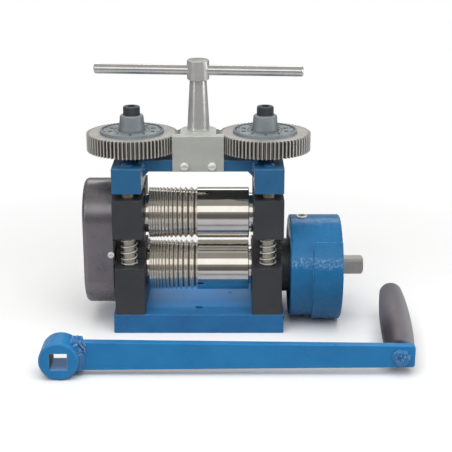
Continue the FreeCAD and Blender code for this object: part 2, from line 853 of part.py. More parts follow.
def reduction_housing():
    drum = rod_x(drum_inner_x, drum_outer_x, drum_radius, 0, lower_axis_z)
    rims = [edge for edge in drum.Edges if edge.BoundBox.XLength < 0.01]
    drum = drum.makeFillet(drum_edge, rims)
    drum = drum.fuse(pad_sector()).removeSplitter()
    drum = drum.cut(rod_x(drum_inner_x + drum_back_wall, drum_outer_x + 1, drum_bore_radius, 0, lower_axis_z))
    drum = drum.cut(rod_x(end_cover_inner_x, drum_outer_x + 1, end_cover_radius, 0, lower_axis_z))
    drum = drum.cut(rod_x(drum_inner_x - 1, drum_outer_x, neck_d / 2 + loose_clearance, 0, lower_axis_z))
    drum = drum.cut(housing_screws())
    for y, z in end_cover_screw_places():
        depth = drum_outer_x - end_cover_screw_length
        drum = drum.cut(rod_x(depth, drum_outer_x, end_cover_screw_d / 2, y, z))
    top = lower_axis_z + drum_radius
    drum = drum.cut(rod_z(lower_axis_z + drum_bore_radius - 1, top + 1, oil_plug_d / 2, oil_plug_x, 0))
    return drum


def housing_screws():
    """Countersunk screws, flush with the inner face of the drum's back wall."""
    seat = drum_inner_x + drum_back_wall
    head_r, shank_r = housing_screw_head_d / 2, housing_screw_d / 2
    screws = []
    for y, z in housing_screw_places():
        profile = [(seat, 0), (seat, head_r), (seat - head_r + shank_r, shank_r)]
        profile += [(drum_inner_x - housing_screw_depth, shank_r), (drum_inner_x - housing_screw_depth, 0)]
        screws.append(turned_x(profile, z, y))
    return group(screws)


def oil_plug():
    top = lower_axis_z + drum_radius
    shank = rod_z(lower_axis_z + drum_bore_radius + 0.5, top, oil_plug_d / 2, oil_plug_x, 0)
    head = rod_z(top - 0.2, top + oil_plug_rise, oil_plug_d / 2, oil_plug_x, 0)
    plug = shank.fuse(head).removeSplitter()
    return plug.cut(hex_prism(4.0, top - 2.0, top + oil_plug_rise + 1, oil_plug_x, 0))


def end_cover():
    bush_r = input_journal_d / 2 + input_bush_wall
    hub_start = drum_outer_x - input_bush_length
    plate = rod_x(end_cover_inner_x, drum_outer_x, end_cover_radius, 0, lower_axis_z)
    hub = rod_x(hub_start, drum_outer_x, bush_r + end_cover_hub_wall, 0, lower_axis_z)
    plate = plate.fuse(hub).removeSplitter()
    plate = plate.cut(rod_x(hub_start - 1, drum_outer_x + 1, bush_r, 0, lower_axis_z))
    for y, z in end_cover_screw_places():
        plate = plate.cut(rod_x(end_cover_inner_x - 1, drum_outer_x + 1, end_cover_screw_d / 2, y, z))
        plate = plate.cut(rod_x(drum_outer_x - end_cover_head_h, drum_outer_x + 1, end_cover_head_d / 2, y, z))
    return plate


def end_cover_screws():
    """Socket screws with their heads flush in the cover."""
    screws = []
    seat = drum_outer_x - end_cover_head_h
    for y, z in end_cover_screw_places():
        head = rod_x(seat, drum_outer_x, end_cover_head_d / 2, y, z)
        shank = rod_x(drum_outer_x - end_cover_screw_length, seat + 0.3, end_cover_screw_d / 2, y, z)
        socket = laid_along_x(hex_prism(2.6, 0, 3), seat, y, z)
        screws.append(head.fuse(shank).cut(socket))
    return group(screws)


def input_bush():
    start = drum_outer_x - input_bush_length
    radius = input_journal_d / 2
    tube = rod_x(start, drum_outer_x, radius + input_bush_wall, 0, lower_axis_z)
    return tube.cut(rod_x(start - 1, drum_outer_x + 1, radius + running_clearance, 0, lower_axis_z))


def ring_gear():
    pitch_radius = gear_module * ring_teeth / 2
    tip_radius = pitch_radius - gear_module
    root_radius = pitch_radius + 1.25 * gear_module
    half_pitch = 180 / ring_teeth
    widening = gear_backlash / 2
    space = gear_solid(gear_module, ring_teeth, ring_width + 2, tip_radius, root_radius, widening, half_pitch)
    space.translate(Vector(0, 0, -1))
    ring = rod_z(0, ring_width, drum_bore_radius).cut(space)
    return laid_along_x(ring, ring_start_x, 0, lower_axis_z)


def planet_angle(index):
    return 90 + 360 / planet_count * index


def planet_centre(index):
    angle = math.radians(planet_angle(index))
    return planet_orbit * math.cos(angle), lower_axis_z + planet_orbit * math.sin(angle)


def planet_gear(index):
    phase = planet_angle(index) + 180 + 180 / planet_teeth
    gear = outer_gear(gear_module, planet_teeth, gear_width, gear_backlash, phase)
    gear = gear.cut(rod_z(-1, gear_width + 1, planet_pin_d / 2 + running_clearance))
    y, z = planet_centre(index)
    return laid_along_x(gear, gear_start_x, y, z)


def sun_gear():
    gear = outer_gear(gear_module, sun_teeth, gear_width, gear_backlash, planet_angle(0))
    gear = gear.cut(rod_z(-1, gear_width + 1, sun_spigot_d / 2))
    return laid_along_x(gear, gear_start_x, 0, lower_axis_z)


def planet_carrier():
    disc = rod_x(carrier_inner_x, carrier_outer_x, carrier_radius, 0, lower_axis_z)
    disc = disc.cut(rod_x(carrier_inner_x - 1, carrier_outer_x + 1, carrier_bore_d / 2, 0, lower_axis_z))
    for index in range(planet_count):
        y, z = planet_centre(index)
        disc = disc.cut(rod_x(carrier_inner_x - 1, carrier_outer_x + 1, planet_pin_d / 2, y, z))
    return disc


def planet_pins():
    pins = []
    head_start = gear_start_x + gear_width + 0.3
    for index in range(planet_count):
        y, z = planet_centre(index)
        shank = rod_x(carrier_inner_x, head_start + 0.2, planet_pin_d / 2, y, z)
        head = rod_x(head_start, head_start + pin_head_h, pin_head_d / 2, y, z)
        pins.append(shank.fuse(head))
    return group(pins)


def input_shaft():
    spigot_end = gear_start_x + gear_width
    journal_end = drum_outer_x + 1.0
    body = rod_x(gear_start_x, spigot_end + 1, sun_spigot_d / 2, 0, lower_axis_z)
    body = body.fuse(rod_x(spigot_end, journal_end, input_journal_d / 2, 0, lower_axis_z))
    half = input_square / 2
    square = box(journal_end - 1, input_end_x, -half, half, lower_axis_z - half, lower_axis_z + half)
    end = turned_x([
        (journal_end - 2, 0),
        (journal_end - 2, input_journal_d / 2),
        (input_end_x - input_edge, input_journal_d / 2),
        (input_end_x, input_journal_d / 2 - input_edge * 1.4),
        (input_end_x, 0),
    ], lower_axis_z)
    return body.fuse(square.common(end)).removeSplitter()


# Roll adjustment

def pressure_screw(side):
    x = side * adjust_x
    tip = upper_chock_top_z + pad_stand + thrust_clearance
    profile = [
        (0, tip),
        (screw_d / 2 - 1.5, tip),
        (screw_d / 2, tip + 1.5),
        (screw_d / 2, adjust_gear_bottom_z),
        (screw_spigot_d / 2, adjust_gear_bottom_z),
        (screw_spigot_d / 2, cap_seat_z - 1),
        (0, cap_seat_z - 1),
    ]
    body = turned_z(profile, x, 0)
    return body.cut(rod_z(cap_seat_z - cap_thread_length, cap_seat_z, cap_thread_d / 2, x, 0))


def adjusting_gear(side):
    phase = 0 if side < 0 else 180 / adjust_gear_teeth
    gear = outer_gear(adjust_module, adjust_gear_teeth, adjust_gear_thickness, adjust_backlash, phase)
    gear = gear.cut(rod_z(-1, adjust_gear_thickness + 1, screw_spigot_d / 2))
    gear.translate(Vector(side * adjust_x, 0, adjust_gear_bottom_z))
    return gear


def dial(side):
    x = side * adjust_x
    rim_inner = dial_d / 2 - dial_rim_width
    profile = [
        (screw_spigot_d / 2, adjust_gear_top_z),
        (dial_d / 2, adjust_gear_top_z),
        (dial_d / 2, dial_top_z),
        (rim_inner, dial_top_z),
        (rim_inner, dial_top_z - dial_rim_height),
        (dial_hub_bottom_d / 2, dial_top_z - dial_rim_height),
        (dial_hub_top_d / 2, cap_seat_z - 1),
        (dial_hub_top_d / 2 - 1, cap_seat_z),
        (screw_spigot_d / 2, cap_seat_z),
    ]
    return turned_z(profile, x, 0)


def cap_screw(side):
    x = side * adjust_x
    top = cap_seat_z + cap_head_h
    profile = [
        (0, cap_seat_z - cap_thread_length + 1),
        (cap_thread_d / 2, cap_seat_z - cap_thread_length + 1),
        (cap_thread_d / 2, cap_seat_z),
        (cap_head_d / 2, cap_seat_z),
        (cap_head_d / 2, top - cap_edge),
        (cap_head_d / 2 - cap_edge, top),
        (0, top),
    ]
    return turned_z(profile, x, 0).cut(hex_prism(cap_socket_across, top - cap_socket_depth, top + 1, x, 0))


# Handle on top

def handle_spindle():
    collar = bracket_top_z + thrust_clearance * 2
    profile = [
        (0, bar_bottom_z + 0.4),
        (spindle_journal_d / 2, bar_bottom_z + 0.4),
        (spindle_journal_d / 2, collar),
        (spindle_cone_bottom_d / 2, collar),
        (spindle_cone_top_d / 2, handle_hub_bottom_z),
        (handle_hub_d / 2 - handle_hub_edge, handle_hub_bottom_z),
        (handle_hub_d / 2, handle_hub_bottom_z + handle_hub_edge),
        (handle_hub_d / 2, handle_hub_top_z - handle_hub_edge),
        (handle_hub_d / 2 - handle_hub_edge, handle_hub_top_z),
        (0, handle_hub_top_z),
    ]
    body = turned_z(profile)
    hole = rod_x(-handle_hub_d, handle_hub_d, handle_bar_d / 2, 0, handle_bar_z)
    hole.rotate(Vector(0, 0, 0), Z_AXIS, handle_rest_angle)
    return body.cut(hole)


def handle_bar():
    half = handle_bar_length / 2
    radius = handle_bar_d / 2
    bar = turned_x([
        (-half, 0),
        (-half, radius - handle_bar_edge),
        (-half + handle_bar_edge, radius),
        (half - handle_bar_edge, radius),
        (half, radius - handle_bar_edge),
        (half, 0),
    ], handle_bar_z)
    bar.rotate(Vector(0, 0, 0), Z_AXIS, handle_rest_angle)
    return bar


def drive_pinion():
    width = bracket_plate_z - 0.5 - pinion_bottom_z
    gear = outer_gear(adjust_module, adjust_pinion_teeth, width, adjust_backlash, 0)
    gear = gear.cut(rod_z(-1, width + 1, spindle_journal_d / 2))
    gear.translate(Vector(0, 0, pinion_bottom_z))
    washer = rod_z(bar_top_z + thrust_clearance, pinion_bottom_z, spindle_journal_d / 2 + 3)
    washer = washer.cut(rod_z(bar_top_z - 1, pinion_bottom_z + 1, spindle_journal_d / 2))
    return gear.fuse(washer)


def spindle_bush():
    radius = spindle_journal_d / 2
    tube = rod_z(bar_bottom_z, bar_top_z, radius + spindle_bush_wall)
    return tube.cut(rod_z(bar_bottom_z - 1, bar_top_z + 1, radius + running_clearance))


def handle_bracket():
    half = bracket_half_width
    reach = bracket_nose_radius
    front = box(-half, half, bracket_front_y, -bar_half_depth, bracket_bottom_z, bracket_top_z)
    strip_end = bracket_front_y + bracket_strip_depth
    strip = box(-half, half, bracket_front_y, strip_end, bracket_plate_z, bracket_top_z)
    tongue = box(-reach, reach, bracket_front_y, 0, bracket_plate_z, bracket_top_z)
    nose = rod_z(bracket_plate_z, bracket_top_z, bracket_nose_radius)
    body = front.fuse([strip, tongue, nose]).removeSplitter()
    bend = edges_where(body, lambda span: span.XLength > 40 and span.YMax < bracket_front_y + 0.01
                       and span.ZMin > bracket_top_z - 0.01)
    body = body.makeFillet(bracket_thickness * 0.8, bend)
    body = body.cut(rod_z(bracket_plate_z - 1, bracket_top_z + 1, spindle_journal_d / 2 + running_clearance))
    for side in (-1, 1):
        hole = rod_y(bracket_front_y - 1, 0, bracket_screw_d / 2, side * bracket_screw_x, bracket_screw_z)
        body = body.cut(hole)
    return body


def bracket_screws():
    screws = []
    for side in (-1, 1):
        x = side * bracket_screw_x
        crown = bracket_front_y - bracket_head_h
        head = rod_y(crown, bracket_front_y, bracket_head_d / 2, x, bracket_screw_z)
        outer = edges_where(head, lambda span: span.YMax < crown + 0.01)
        head = head.makeFillet(bracket_head_h * 0.6, outer)
        tip = bracket_front_y + bracket_screw_length
        shank = rod_y(bracket_front_y - 0.5, tip, bracket_screw_d / 2, x, bracket_screw_z)
        slot = box(x - bracket_head_d, x + bracket_head_d, crown - 1, crown + 1.2,
                   bracket_screw_z - 0.6, bracket_screw_z + 0.6)
        screws.append(head.fuse(shank).cut(slot))
    return group(screws)


# Crank

def boss_cylinder():
    back_y = crank_front_y + crank_boss_length
    return rod_y(crank_front_y, back_y, crank_boss_radius, crank_x, crank_boss_radius)


def crank_boss():
    boss = boss_cylinder()
    rims = [edge for edge in boss.Edges if edge.BoundBox.YLength < 0.01]
    boss = boss.makeChamfer(crank_boss_edge, rims)
    half = crank_socket / 2
    socket = box(crank_x - half, crank_x + half, crank_front_y - 1, crank_front_y + crank_boss_length + 1,
                 crank_boss_radius - half, crank_boss_radius + half)
    return boss.cut(socket)


def crank_arm():
    tip_x = grip_x + crank_arm_overhang
    root, tip = crank_arm_root_height / 2, crank_arm_tip_height / 2
    arm = closed_face([
        Vector(crank_x, crank_arm_front_y, crank_arm_root_z - root),
        Vector(tip_x, crank_arm_front_y, grip_axis_z - tip),
        Vector(tip_x, crank_arm_front_y, grip_axis_z + tip),
        Vector(crank_x, crank_arm_front_y, crank_arm_root_z + root),
    ]).extrude(Vector(0, crank_arm_thickness, 0))
    corners = edges_where(arm, lambda span: span.XMin > tip_x - 0.01 and span.YLength > 1)
    arm = arm.makeFillet(crank_arm_corner, corners)
    long_edges = edges_where(arm, lambda span: span.XLength > crank_centre_distance / 2)
    arm = arm.makeFillet(crank_arm_edge, long_edges)
    return arm.cut([boss_cylinder(), leaned(spindle_blank())])


def crank_welds():
    """Fillet beads between the boss and the arm, on both faces of the arm."""
    boss = boss_cylinder()
    half_height = crank_arm_root_height / 2
    reach = math.sqrt(crank_boss_radius ** 2 - half_height ** 2)
    beads = []
    for face_y in (crank_arm_front_y, crank_arm_back_y):
        centre_x = crank_x + (crank_boss_radius + reach) / 2 + 1.0
        low_z = crank_arm_root_z - half_height + 1
        high_z = crank_arm_root_z + half_height - 1
        bead = rod_z(low_z, high_z, weld_radius, centre_x, face_y)
        slab = box(crank_x, grip_x, crank_arm_front_y, crank_arm_back_y, -1, 3 * crank_boss_radius)
        piece = bead.cut([boss, slab])
        beads.append(max(piece.Solids, key=lambda solid: solid.Volume))
    return group(beads)


def leaned(shape):
    """Shape turned from the Y direction to the lean of the grip, about its foot on the arm."""
    foot = Vector(grip_x, crank_arm_back_y, grip_axis_z)
    shape = shape.copy()
    shape.rotate(foot, X_AXIS, grip_rise_angle)
    shape.rotate(foot, Z_AXIS, -grip_splay_angle)
    return shape


def spindle_blank():
    tip = grip_end_y - grip_bore_stop - loose_clearance
    shank = rod_y(crank_arm_front_y, tip, grip_spindle_d / 2, grip_x, grip_axis_z)
    seat = grip_spindle_seat_y
    head = rod_y(seat - grip_spindle_head_h, seat, grip_spindle_head_d / 2, grip_x, grip_axis_z)
    outer = [edge for edge in head.Edges if edge.BoundBox.YMax < seat - grip_spindle_head_h + 0.1]
    head = head.makeFillet(0.5 * grip_spindle_head_h, outer)
    return shank.fuse(head).removeSplitter()


def grip_spindle():
    return leaned(spindle_blank())


def crank_grip():
    """Swelled grip with a domed end, free to turn on its spindle."""
    start, end = grip_start_y, grip_end_y
    belly = start + 0.5 * grip_length
    shoulder = end - grip_dome_height

    def at(y, radius):
        return Vector(grip_x + radius, y, grip_axis_z)

    dome_rise = at(end - 0.3 * grip_dome_height, 0.7 * grip_end_radius)
    crown = at(end, grip_crown_radius)
    heel = at(start + 1, grip_base_radius)
    edges = [
        Part.LineSegment(at(start, 0), at(start, grip_base_radius - 1)).toShape(),
        Part.LineSegment(at(start, grip_base_radius - 1), heel).toShape(),
        Part.Arc(heel, at(belly, grip_belly_radius), at(shoulder, grip_end_radius)).toShape(),
        Part.Arc(at(shoulder, grip_end_radius), dome_rise, crown).toShape(),
        Part.LineSegment(crown, at(end, 0)).toShape(),
        Part.LineSegment(at(end, 0), at(start, 0)).toShape(),
    ]
    body = Part.Face(Part.Wire(edges)).revolve(Vector(grip_x, 0, grip_axis_z), Y_AXIS, 360)
    bore = rod_y(start - 1, end - grip_bore_stop, grip_spindle_d / 2 + running_clearance, grip_x, grip_axis_z)
    return leaned(body.cut(bore))


def main():
    os.makedirs("parts", exist_ok=True)

    save("base", base())
    save("top_yoke", top_yoke())
    save("tie_studs", tie_studs())
    save("chock_screws", chock_screws())
    for side, word in ((-1, "left"), (1, "right")):
        save("lower_chock_" + word, lower_chock(side))
        save("upper_chock_" + word, upper_chock(side))
        save("pressure_screw_" + word, pressure_screw(side))
        save("adjusting_gear_" + word, adjusting_gear(side))
        save("dial_" + word, dial(side))
        save("cap_screw_" + word, cap_screw(side))
    save("lower_bushes", bushes(lower_chock_inner_x, lower_chock_outer_x, lower_axis_z))
    save("upper_bushes", bushes(upper_chock_inner_x, upper_chock_outer_x, upper_axis_z))
    save("thrust_pads", thrust_pads())

    for x, y in stud_places():
        name = "lift_spring_" + ("front_" if y < 0 else "rear_") + ("left" if x < 0 else "right")
        spring, path = lift_spring(x, y)
        save(name, spring)
        print("least gap of the spring to itself", round(spring_self_gap(path), 3), "mm")

    save("upper_roll", upper_roll())
    save("lower_roll", lower_roll())
    save("upper_timing_gear", timing_gear(upper_axis_z, 180 / timing_teeth))
    save("lower_timing_gear", timing_gear(lower_axis_z, 0))
    save("upper_gear_screw", gear_screw(upper_axis_z))
    save("lower_gear_screw", gear_screw(lower_axis_z))

    save("cover_plate", cover_plate())
    save("plate_screws", plate_screws())
    save("gear_cover", gear_cover())
    save("cover_screws", cover_screws())

    save("reduction_housing", reduction_housing())
    save("housing_screws", housing_screws())
    save("oil_plug", oil_plug())
    save("end_cover", end_cover())
    save("end_cover_screws", end_cover_screws())
    save("input_bush", input_bush())
    save("ring_gear", ring_gear())
    for index in range(planet_count):
        save("planet_gear_" + str(index + 1), planet_gear(index))
    save("sun_gear", sun_gear())
    save("planet_carrier", planet_carrier())
    save("planet_pins", planet_pins())
    save("input_shaft", input_shaft())

    save("handle_spindle", handle_spindle())
    save("handle_bar", handle_bar())
    save("drive_pinion", drive_pinion())
    save("spindle_bush", spindle_bush())
    save("handle_bracket", handle_bracket())
    save("bracket_screws", bracket_screws())

    save("crank_boss", crank_boss())
    save("crank_arm", crank_arm())
    save("crank_welds", crank_welds())
    save("grip_spindle", grip_spindle())
    save("crank_grip", crank_grip())


main()
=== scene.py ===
import math

import bmesh
import bpy
from mathutils import Matrix, Vector, noise

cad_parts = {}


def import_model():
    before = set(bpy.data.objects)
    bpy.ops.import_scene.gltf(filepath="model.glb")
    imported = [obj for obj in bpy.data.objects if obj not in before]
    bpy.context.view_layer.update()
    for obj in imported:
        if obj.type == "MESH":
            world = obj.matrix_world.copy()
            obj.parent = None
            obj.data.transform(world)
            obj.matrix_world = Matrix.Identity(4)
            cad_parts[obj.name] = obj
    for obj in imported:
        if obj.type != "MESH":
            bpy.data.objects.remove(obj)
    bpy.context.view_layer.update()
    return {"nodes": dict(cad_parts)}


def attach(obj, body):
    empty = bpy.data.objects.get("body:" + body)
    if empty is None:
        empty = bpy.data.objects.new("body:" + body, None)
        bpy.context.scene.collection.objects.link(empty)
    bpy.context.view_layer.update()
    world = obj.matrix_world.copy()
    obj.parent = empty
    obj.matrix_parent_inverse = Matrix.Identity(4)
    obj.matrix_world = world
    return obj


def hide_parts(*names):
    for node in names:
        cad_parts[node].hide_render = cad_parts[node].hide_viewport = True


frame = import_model()
NODES = frame["nodes"]

# Places and sizes on the object, in metres

ROLL_RADIUS = 0.0255
UPPER_ROLL_Z = 0.1115
LOWER_ROLL_Z = 0.0555
ROLL_FACE_END = 0.05
SHALLOW_GROOVE, DEEP_GROOVE = 0.0011, 0.0032
GEAR_AXIS = 0.065625
GEAR_TIP_RADIUS = 0.045
CAP_KNURLS = 64
DIAL_FACE_Z = 0.1965
DIAL_MARK_REACH = 0.0296
DIAL_NUMBER_REACH = 0.0222
DIAL_MARKS_ROUND, DIAL_NUMBERS_ROUND = 40, 10
STUD_X, STUD_Y = 0.0688, 0.032
YOKE_BLOCK_TOP = 0.1686
YOKE_BLOCK_INNER_X = 0.0544
DRUM_HIGHLIGHT_Z = 0.0745
DRUM_PAINTED_PALE_FROM, DRUM_PAINTED_PALE_TO = 0.084, 0.09
PLUG_PLACE = (0.1035, 0, 0.1070)
SOCKET_X, SOCKET_Z, SOCKET_REACH = -0.1247, 0.0183, 0.0084
CRANK_FRONT_Y, CRANK_BACK_Y = -0.1466, -0.1382
SPINDLE_HEAD = (0.1871, -0.1472, 0.0182)
GRIP_AXIS_X, GRIP_SPLAY = 0.1963, 0.063

# Node materials


class Nodes:
    """A material being built: add() makes a node, and a tuple (node, output) links to it."""

    def __init__(self, name):
        self.material = bpy.data.materials.new(name)
        self.material.use_nodes = True
        self.tree = self.material.node_tree
        self.tree.nodes.clear()
        self.shader = self.add("BsdfPrincipled")
        output = self.add("OutputMaterial")
        self.tree.links.new(self.shader.outputs["BSDF"], output.inputs["Surface"])
        self.place = (self.add("TexCoord"), "Object")

    def add(self, kind, settings=None, **inputs):
        node = self.tree.nodes.new("ShaderNode" + kind)
        for key, value in (settings or {}).items():
            setattr(node, key, value)
        for key, value in inputs.items():
            self.put(node, key.replace("_", " "), value)
        return node

    def put(self, node, socket, value):
        target = node.inputs[socket]
        if isinstance(value, tuple) and isinstance(value[0], bpy.types.Node):
            self.tree.links.new(value[0].outputs[value[1]], target)
        else:
            target.default_value = value

    def set(self, **inputs):
        for key, value in inputs.items():
            self.put(self.shader, key.replace("_", " "), value)

    def mapped(self, scale, turn=(0, 0, 0)):
        node = self.add("Mapping", Vector=self.place)
        node.inputs["Scale"].default_value = scale
        node.inputs["Rotation"].default_value = turn
        return (node, "Vector")

    def noise(self, scale, detail=3.0, roughness=0.5, vector=None):
        node = self.add("TexNoise", Vector=vector or self.place, Scale=scale, Detail=detail,
                        Roughness=roughness)
        return (node, "Fac")

    def ramp(self, fac, *stops):
        node = self.add("ValToRGB")
        self.put(node, "Fac", fac)
        ramp = node.color_ramp
        for index, (position, colour) in enumerate(stops):
            stop = ramp.elements[index] if index < 2 else ramp.elements.new(position)
            stop.position = position
            stop.color = (*colour, 1.0) if isinstance(colour, tuple) else (colour, colour, colour, 1.0)
        return (node, "Color")

    def level(self, fac, low, high, start=0.0, end=1.0):
        node = self.add("MapRange")
        self.put(node, 0, fac)
        for index, value in enumerate((start, end, low, high)):
            self.put(node, index + 1, value)
        return (node, "Result")

    def math(self, kind, a, b=0.0, clamp=False):
        node = self.add("Math", {"operation": kind, "use_clamp": clamp})
        self.put(node, 0, a)
        self.put(node, 1, b)
        return (node, "Value")

    def distance(self, a, b):
        """The length of the vector (a, b)."""
        squares = [self.math("MULTIPLY", side, side) for side in (a, b)]
        return self.math("SQRT", self.math("ADD", *squares))

    def facing(self, axis):
        """One part of the surface's own normal."""
        return (self.add("SeparateXYZ", Vector=(self.add("NewGeometry"), "Normal")), axis)

    def mix(self, fac, a, b, kind="MIX"):
        node = self.add("Mix", {"data_type": "RGBA", "blend_type": kind})
        self.put(node, 0, fac)
        self.put(node, 6, a)
        self.put(node, 7, b)
        return (node, 2)

    def bump(self, height, distance, strength=1.0, normal=None):
        node = self.add("Bump", Height=height, Distance=distance, Strength=strength)
        if normal:
            self.put(node, "Normal", normal)
        return (node, "Normal")

    def rounded(self, radius):
        """A normal that reads as a softly rounded edge of this radius."""
        return (self.add("Bevel", {"samples": 6}, Radius=radius), "Normal")

    def edges(self, radius, start, end):
        """From 0 on flat faces to 1 along sharp outer edges."""
        soft = self.rounded(radius)
        geometry = self.add("NewGeometry")
        dot = self.add("VectorMath", {"operation": "DOT_PRODUCT"})
        self.put(dot, 0, soft)
        self.put(dot, 1, (geometry, "Normal"))
        return self.level((dot, "Value"), 0.0, 1.0, 1.0 - start, 1.0 - end)

    def worn(self, radius, pattern, low, high, start=0.42):
        """Patchy wear along sharp outer edges, where the pattern is high."""
        patches = self.level(pattern, low, high, start, 0.6)
        return self.math("MULTIPLY", self.edges(radius, 0.03, 0.12), patches, True)

    def recess(self, distance):
        """From 0 in deep gaps to 1 on open faces."""
        return (self.add("AmbientOcclusion", {"samples": 6, "only_local": True}, Distance=distance), "AO")


def rgb(code):
    """An sRGB hex colour as linear values."""
    parts = [int(code[i:i + 2], 16) / 255 for i in (0, 2, 4)]
    return tuple(p / 12.92 if p <= 0.04045 else ((p + 0.055) / 1.055) ** 2.4 for p in parts)


def colour(code):
    return (*rgb(code), 1.0)


def enamel(name, base, shade, light):
    """Smooth paint with orange peel, rubbed lighter in patches along its edges, and with a thin painted
    highlight along every sharp edge.
    """
    m = Nodes(name)
    broad = m.noise(38.0, 4.0, 0.55)
    fine = m.noise(420.0, 2.0, 0.5)
    tint = m.ramp(broad, (0.2, rgb(shade)), (0.8, rgb(base)))
    worn = m.worn(0.0011, m.noise(160.0), 0.3, 0.75)
    # Painted highlight: a thin pale line along every sharp edge.
    edge_highlight = m.math("MULTIPLY", m.edges(0.0008, 0.02, 0.08), 0.4)
    m.put(m.shader, "Base Color", m.mix(m.math("MAXIMUM", worn, edge_highlight, True), tint, colour(light)))
    m.put(m.shader, "Roughness", m.level(broad, 0.26, 0.42, 0.3, 0.7))
    m.set(Specular_IOR_Level=0.25, Coat_Weight=0.15, Coat_Roughness=0.12)
    peel = m.bump(fine, 0.00012, 0.5, m.rounded(0.0009))
    m.put(m.shader, "Normal", m.bump(broad, 0.0008, 0.35, peel))
    return m.material


def cast_enamel(name, base, shade, light):
    """Glossy paint over a rough weld, with painted glints lightening its crests."""
    m = Nodes(name)
    broad = m.noise(30.0, 5.0, 0.6)
    lumps = m.noise(150.0, 3.0, 0.6)
    tint = m.ramp(broad, (0.2, rgb(shade)), (0.8, rgb(base)))
    rubbed = m.level(m.math("MULTIPLY", broad, lumps), 0.0, 0.3, 0.31, 0.45)
    worn = m.worn(0.0014, lumps, 0.1, 0.6)
    # Painted glints: the sharpest crests of the weld turn pale blue.
    crest = m.level((m.add("NewGeometry"), "Pointiness"), 0.0, 0.9, 0.55, 0.62)
    painted = m.mix(m.math("MAXIMUM", worn, rubbed, True), tint, colour(light))
    m.put(m.shader, "Base Color", m.mix(crest, painted, colour("b4cdf0")))
    m.put(m.shader, "Roughness", m.level(lumps, 0.3, 0.5, 0.35, 0.65))
    m.set(Specular_IOR_Level=0.4, Coat_Weight=0.8, Coat_Roughness=0.06)
    rough = m.bump(lumps, 0.0006, 0.4, m.rounded(0.0014))
    m.put(m.shader, "Normal", m.bump(broad, 0.002, 0.4, rough))
    return m.material


def drum_enamel(name):
    """The drum's paint: its inner end is dull low down with a painted pale highlight near the top; its
    front has a speckled band of painted highlight.
    """
    m = Nodes(name)
    broad = m.noise(30.0, 5.0, 0.6)
    lumps = m.noise(150.0, 3.0, 0.6)
    tint = m.ramp(broad, (0.2, rgb("1d6596")), (0.8, rgb("2874a8")))
    parts = m.add("SeparateXYZ", Vector=m.place)
    # Painted highlight: a speckled pale band across the front, at the height where the lamp's reflection
    # falls.
    height = m.math("ABSOLUTE", m.math("SUBTRACT", (parts, "Z"), DRUM_HIGHLIGHT_Z))
    front = m.level((parts, "Y"), 1.0, 0.0, -0.03, -0.02)
    highlight_band = m.math("MULTIPLY", m.level(height, 1.0, 0.0, 0.003, 0.0065), front)
    specks = m.level(m.noise(420.0, 4.0, 0.7), 0.0, 0.6, 0.48, 0.66)
    rubbed = m.math("MULTIPLY", highlight_band, specks)
    worn = m.worn(0.0014, lumps, 0.1, 0.6)
    inner = m.level(m.facing("X"), 1.0, 0.0, -0.95, -0.7)
    low = m.level((parts, "Z"), 1.0, 0.0, DRUM_PAINTED_PALE_FROM, DRUM_PAINTED_PALE_TO)
    inner_end = m.math("MULTIPLY", inner, low)
    # Painted highlight: the upper part of the inner end turns pale blue.
    painted_pale_highlight = m.math("MULTIPLY", m.math("SUBTRACT", inner, inner_end), 0.8, True)
    painted = m.mix(m.math("MAXIMUM", worn, rubbed, True), tint, colour("a4c6e2"))
    m.put(m.shader, "Base Color", m.mix(painted_pale_highlight, painted, colour("9cc8f4")))
    gloss = m.level(lumps, 0.2, 0.4, 0.35, 0.65)
    m.put(m.shader, "Roughness", m.math("ADD", gloss, m.math("MULTIPLY", inner_end, 0.35), True))
    m.put(m.shader, "Specular IOR Level", m.level(inner_end, 0.25, 0.15))
    m.put(m.shader, "Coat Weight", m.level(inner_end, 0.1, 0.0))
    m.set(Coat_Roughness=0.12)
    rough = m.bump(lumps, 0.0009, 0.5, m.rounded(0.0014))
    m.put(m.shader, "Normal", m.bump(broad, 0.002, 0.4, rough))
    return m.material


def cover_paint(name):
    """Dark mottled paint with a metallic sheen."""
    m = Nodes(name)
    broad = m.noise(42.0, 5.0, 0.65)
    fine = m.noise(500.0, 2.0, 0.5)
    tint = m.ramp(broad, (0.3, rgb("75757c")), (0.75, rgb("918a8c")))
    worn = m.worn(0.0006, m.noise(220.0), 0.0, 0.7, 0.45)
    m.put(m.shader, "Base Color", m.mix(worn, tint, colour("9a9692")))
    m.put(m.shader, "Roughness", m.level(broad, 0.24, 0.34, 0.3, 0.7))
    m.set(Metallic=0.7)
    m.put(m.shader, "Normal", m.bump(fine, 0.0001, 0.4, m.rounded(0.0005)))
    return m.material


def black_oxide(name, base, light, roughness):
    """Dark oxide finish, rubbed on its sharp edges."""
    m = Nodes(name)
    broad = m.noise(55.0, 5.0, 0.6)
    fine = m.noise(600.0, 2.0, 0.5)
    tint = m.ramp(broad, (0.25, rgb(base)), (0.8, rgb(light)))
    worn = m.worn(0.0006, m.noise(220.0), 0.0, 0.7, 0.45)
    m.put(m.shader, "Base Color", m.mix(worn, tint, colour("8d8a86")))
    m.put(m.shader, "Roughness", m.level(broad, roughness - 0.06, roughness + 0.12, 0.3, 0.7))
    m.set(Metallic=0.25, Specular_IOR_Level=0.45)
    m.put(m.shader, "Normal", m.bump(fine, 0.0001, 0.4, m.rounded(0.0005)))
    return m.material


